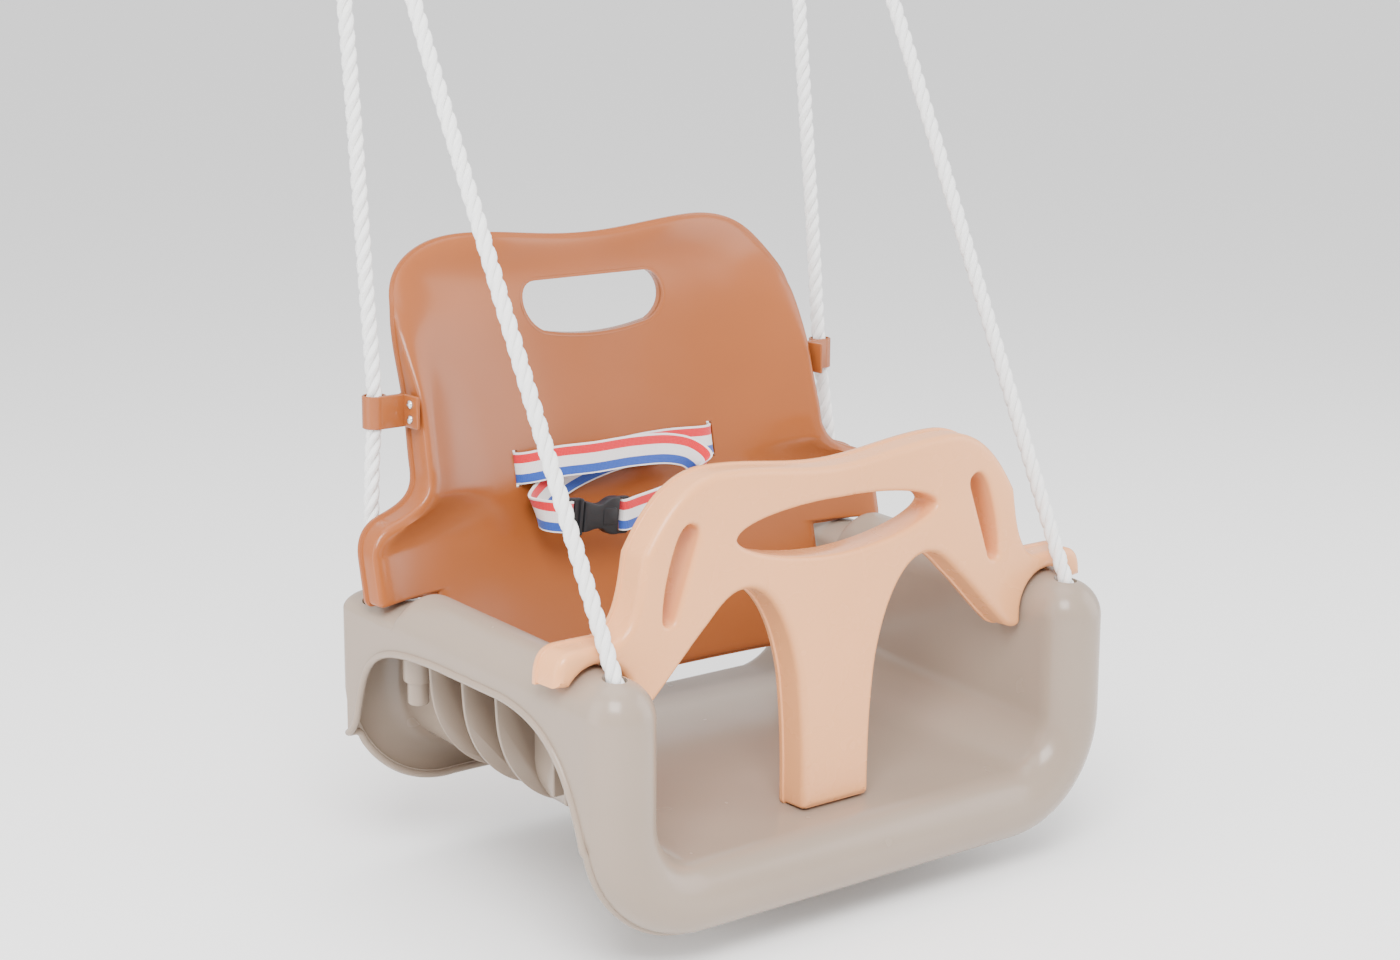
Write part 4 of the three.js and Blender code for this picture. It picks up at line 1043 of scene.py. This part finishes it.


# Socket: a waisted shell, and a bar for the strap at its right end.
waist = Path(-6, 12).bez(2, 12, 3, 9.6, 9, 9.6, n=8).bez(15, 9.6, 16, 15, 24, 15, n=8).line(28, 15)
waist.p += [np.array([28, -15])]
waist.line(24, -15).bez(16, -15, 15, -9.6, 9, -9.6, n=8).bez(3, -9.6, 2, -12, -6, -12, n=8)
shell = distinct(waist.p)
socket = buckle_piece("buckle_socket_shell", shell, 4.5, 1.4, "seat")
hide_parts("buckle_socket")
eye = rect(29, 34, -13.2, 13.2, 1)
buckle_piece("buckle_socket_bar", rect(26, 40, -15, 15, 3), 2.0, 0.8, "seat", holes=[eye])
buckle_piece("buckle_socket_panel", rect(12, 25, -7, 7, 2.5), 5.1, 0.5, "seat")
eye = rect(-19.5, -14.5, -13.2, 13.2, 1)
tongue = buckle_piece("buckle_tongue_bar", rect(-22.5, -8.5, -15, 15, 3), 2.0, 0.8, "tongue", holes=[eye])
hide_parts("buckle_tongue")
buckle_piece("buckle_tongue_collar", rect(-10, -6.4, -14.6, 14.6, 1.5), 3.6, 1.0, "tongue")
for z in (-1, 1):
    arm = Path(-7, z * 10).bez(0, z * 10, 4, z * 10.2, 8, z * 9.4, n=8)
    arm.line(12, z * 9).line(13, z * 6.8).line(-7, z * 6.5)
    points = distinct(arm.p)
    name = "buckle_prong_upper" if z > 0 else "buckle_prong_lower"
    buckle_piece(name, points if z < 0 else points[::-1], 1.8, 0.5, "tongue")


# ---- Clips, screws, rings --------------------------------------------------------------------------------
def clip(side, word):
    wall = side * (BACK_HALF_W + 1.5 + 0.9)
    at = np.array([side * ROPE_AT_CLIP_X, ROPE_AT_CLIP_Y, CLIP_Z])
    outer, inner = 7.5, 6.1
    ring = []
    lower = [(inner, -9.6), (inner + 0.4, -10), (outer - 0.5, -10), (outer, -9.5)]
    for r, z in lower + [(r, -z) for r, z in lower[::-1]]:
        angles = np.arange(40) * math.pi / 20
        ring.append([at + np.array([r * math.cos(t), r * math.sin(t), z]) for t in angles])
    verts, faces = grid(ring, closed_rows=True, closed_cols=True)
    band = finish_mesh(f"rope_clip_band_{word}", verts, faces, "seat", BROWN, angle=40)
    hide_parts(f"rope_clip_{word}")
    x = wall + side * CLIP_T / 2
    tab_size, tab_at = (CLIP_T, 20, CLIP_H), (x, at[1] - 12, CLIP_Z)
    rounded_box(f"rope_clip_tab_{word}", tab_size, tab_at, 0.8, "seat", BROWN)
    reach = abs(at[0] - wall)
    neck_size, neck_at = (reach, 3.6, CLIP_H), (at[0] - side * reach / 2, at[1] - 5.7, CLIP_Z)
    rounded_box(f"rope_clip_neck_{word}", neck_size, neck_at, 0.8, "seat", BROWN)
    for k, up in ((1, "upper"), (-1, "lower")):
        face = wall + side * (CLIP_T + 0.1)
        centre = np.array([face, at[1] - 14.5, CLIP_Z + k * 4.5])
        rows = []
        dome = [
            (2.7, 0.0), (2.7, 0.35), (2.5, 0.9), (2.05, 1.4),
            (1.4, 1.75), (0.7, 1.9), (0.65, 1.2), (0.01, 1.1),
        ]
        angles = np.arange(28) * math.pi / 14
        for r, h in dome:
            rows.append([centre + np.array([side * h, r * math.cos(t), r * math.sin(t)]) for t in angles])
        verts, faces = grid(rows, closed_cols=True)
        screw = finish_mesh(f"dome_screw_{up}_{word}", verts, faces, "seat", BRIGHT, angle=50)
        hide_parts(f"clip_screw_{up}_{word}")


for side, word in ((-1, "left"), (1, "right")):
    clip(side, word)
    t = np.linspace(0, 2 * math.pi, 97)[:-1]
    middle = np.array([side * HANG_X, ORIGIN[1], ORIGIN[2]])
    circle = middle + np.stack([RING_R * np.sin(t), 0 * t, RING_R * np.cos(t)], 1)
    verts, faces = sweep(circle, RING_WIRE_R, 20, closed=True)
    node = f"hanging_ring_{word}"
    finish_mesh(f"steel_ring_{word}", verts, faces, "rings", STEEL, node)
    profile = [(12.2, -4), (12.6, -5.4), (13.6, -6.6), (15, -7), (20.2, -6.8), (20.5, -6.2)]
    profile += [(22 - 5.9 * math.cos(a), 5.9 * math.sin(a)) for a in np.linspace(-1.25, 1.25, 13)]
    profile += [(20.5, 6.2), (20.2, 6.8), (15, 7), (13.6, 6.6), (12.6, 5.4), (12.2, 4)]
    rows = []
    for r, h in profile:
        centre = np.array([side * HANG_X + h, ORIGIN[1], THIMBLE_Z])
        rows.append([centre + np.array([0, r * math.cos(a), r * math.sin(a)]) for a in t])
    verts, faces = grid(rows, closed_rows=True, closed_cols=True)
    node = f"rope_thimble_{word}"
    finish_mesh(f"thimble_{word}", verts, faces, "seat", STEEL, node, angle=50)


# ---- Studio ----------------------------------------------------------------------------------------------
FLOOR = float(cad_box[0][2]) - 0.02
floor_mesh = bpy.data.meshes.new("floor")
rows = []
for y in np.linspace(-FLOOR_HALF_M, FLOOR_HALF_M, 13):
    rows.append([(x, y, 0) for x in np.linspace(-FLOOR_HALF_M, FLOOR_HALF_M, 13)])
verts, faces = grid(rows)
floor_mesh.from_pydata([(x, y, FLOOR) for x, y, z in verts], [], faces)
floor = bpy.data.objects.new("floor", floor_mesh)
bpy.context.scene.collection.objects.link(floor)
paper, tree, shader = nodes_of("studio_floor")
shader.inputs["Base Color"].default_value = (0.96, 0.96, 0.96, 1)
shader.inputs["Roughness"].default_value = 0.9
floor_mesh.materials.append(paper)

world = bpy.data.worlds.new("studio")
bpy.context.scene.world = world
world.use_nodes = True
world.node_tree.nodes["Background"].inputs["Color"].default_value = (1, 1, 1, 1)
world.node_tree.nodes["Background"].inputs["Strength"].default_value = 1.35


def area_light(name, at, target, size, power):
    light = bpy.data.lights.new(name, "AREA")
    light.shape = "RECTANGLE"
    light.size, light.size_y = size
    light.energy = power
    obj = bpy.data.objects.new(name, light)
    bpy.context.scene.collection.objects.link(obj)
    obj.location = Vector(place(at))
    aim = Vector(place(target)) - obj.location
    obj.rotation_euler = aim.to_track_quat("-Z", "Y").to_euler()


TARGET = (0, 120, 40)
area_light("key", (-900, -900, 1300), TARGET, (0.9, 0.9), 52)
area_light("fill_right", (1500, -700, 500), TARGET, (1.2, 1.6), 20)
area_light("side_left", (-1500, 300, 500), TARGET, (0.9, 1.6), 14)
area_light("top", (0, 200, 1700), TARGET, (1.4, 1.4), 16)
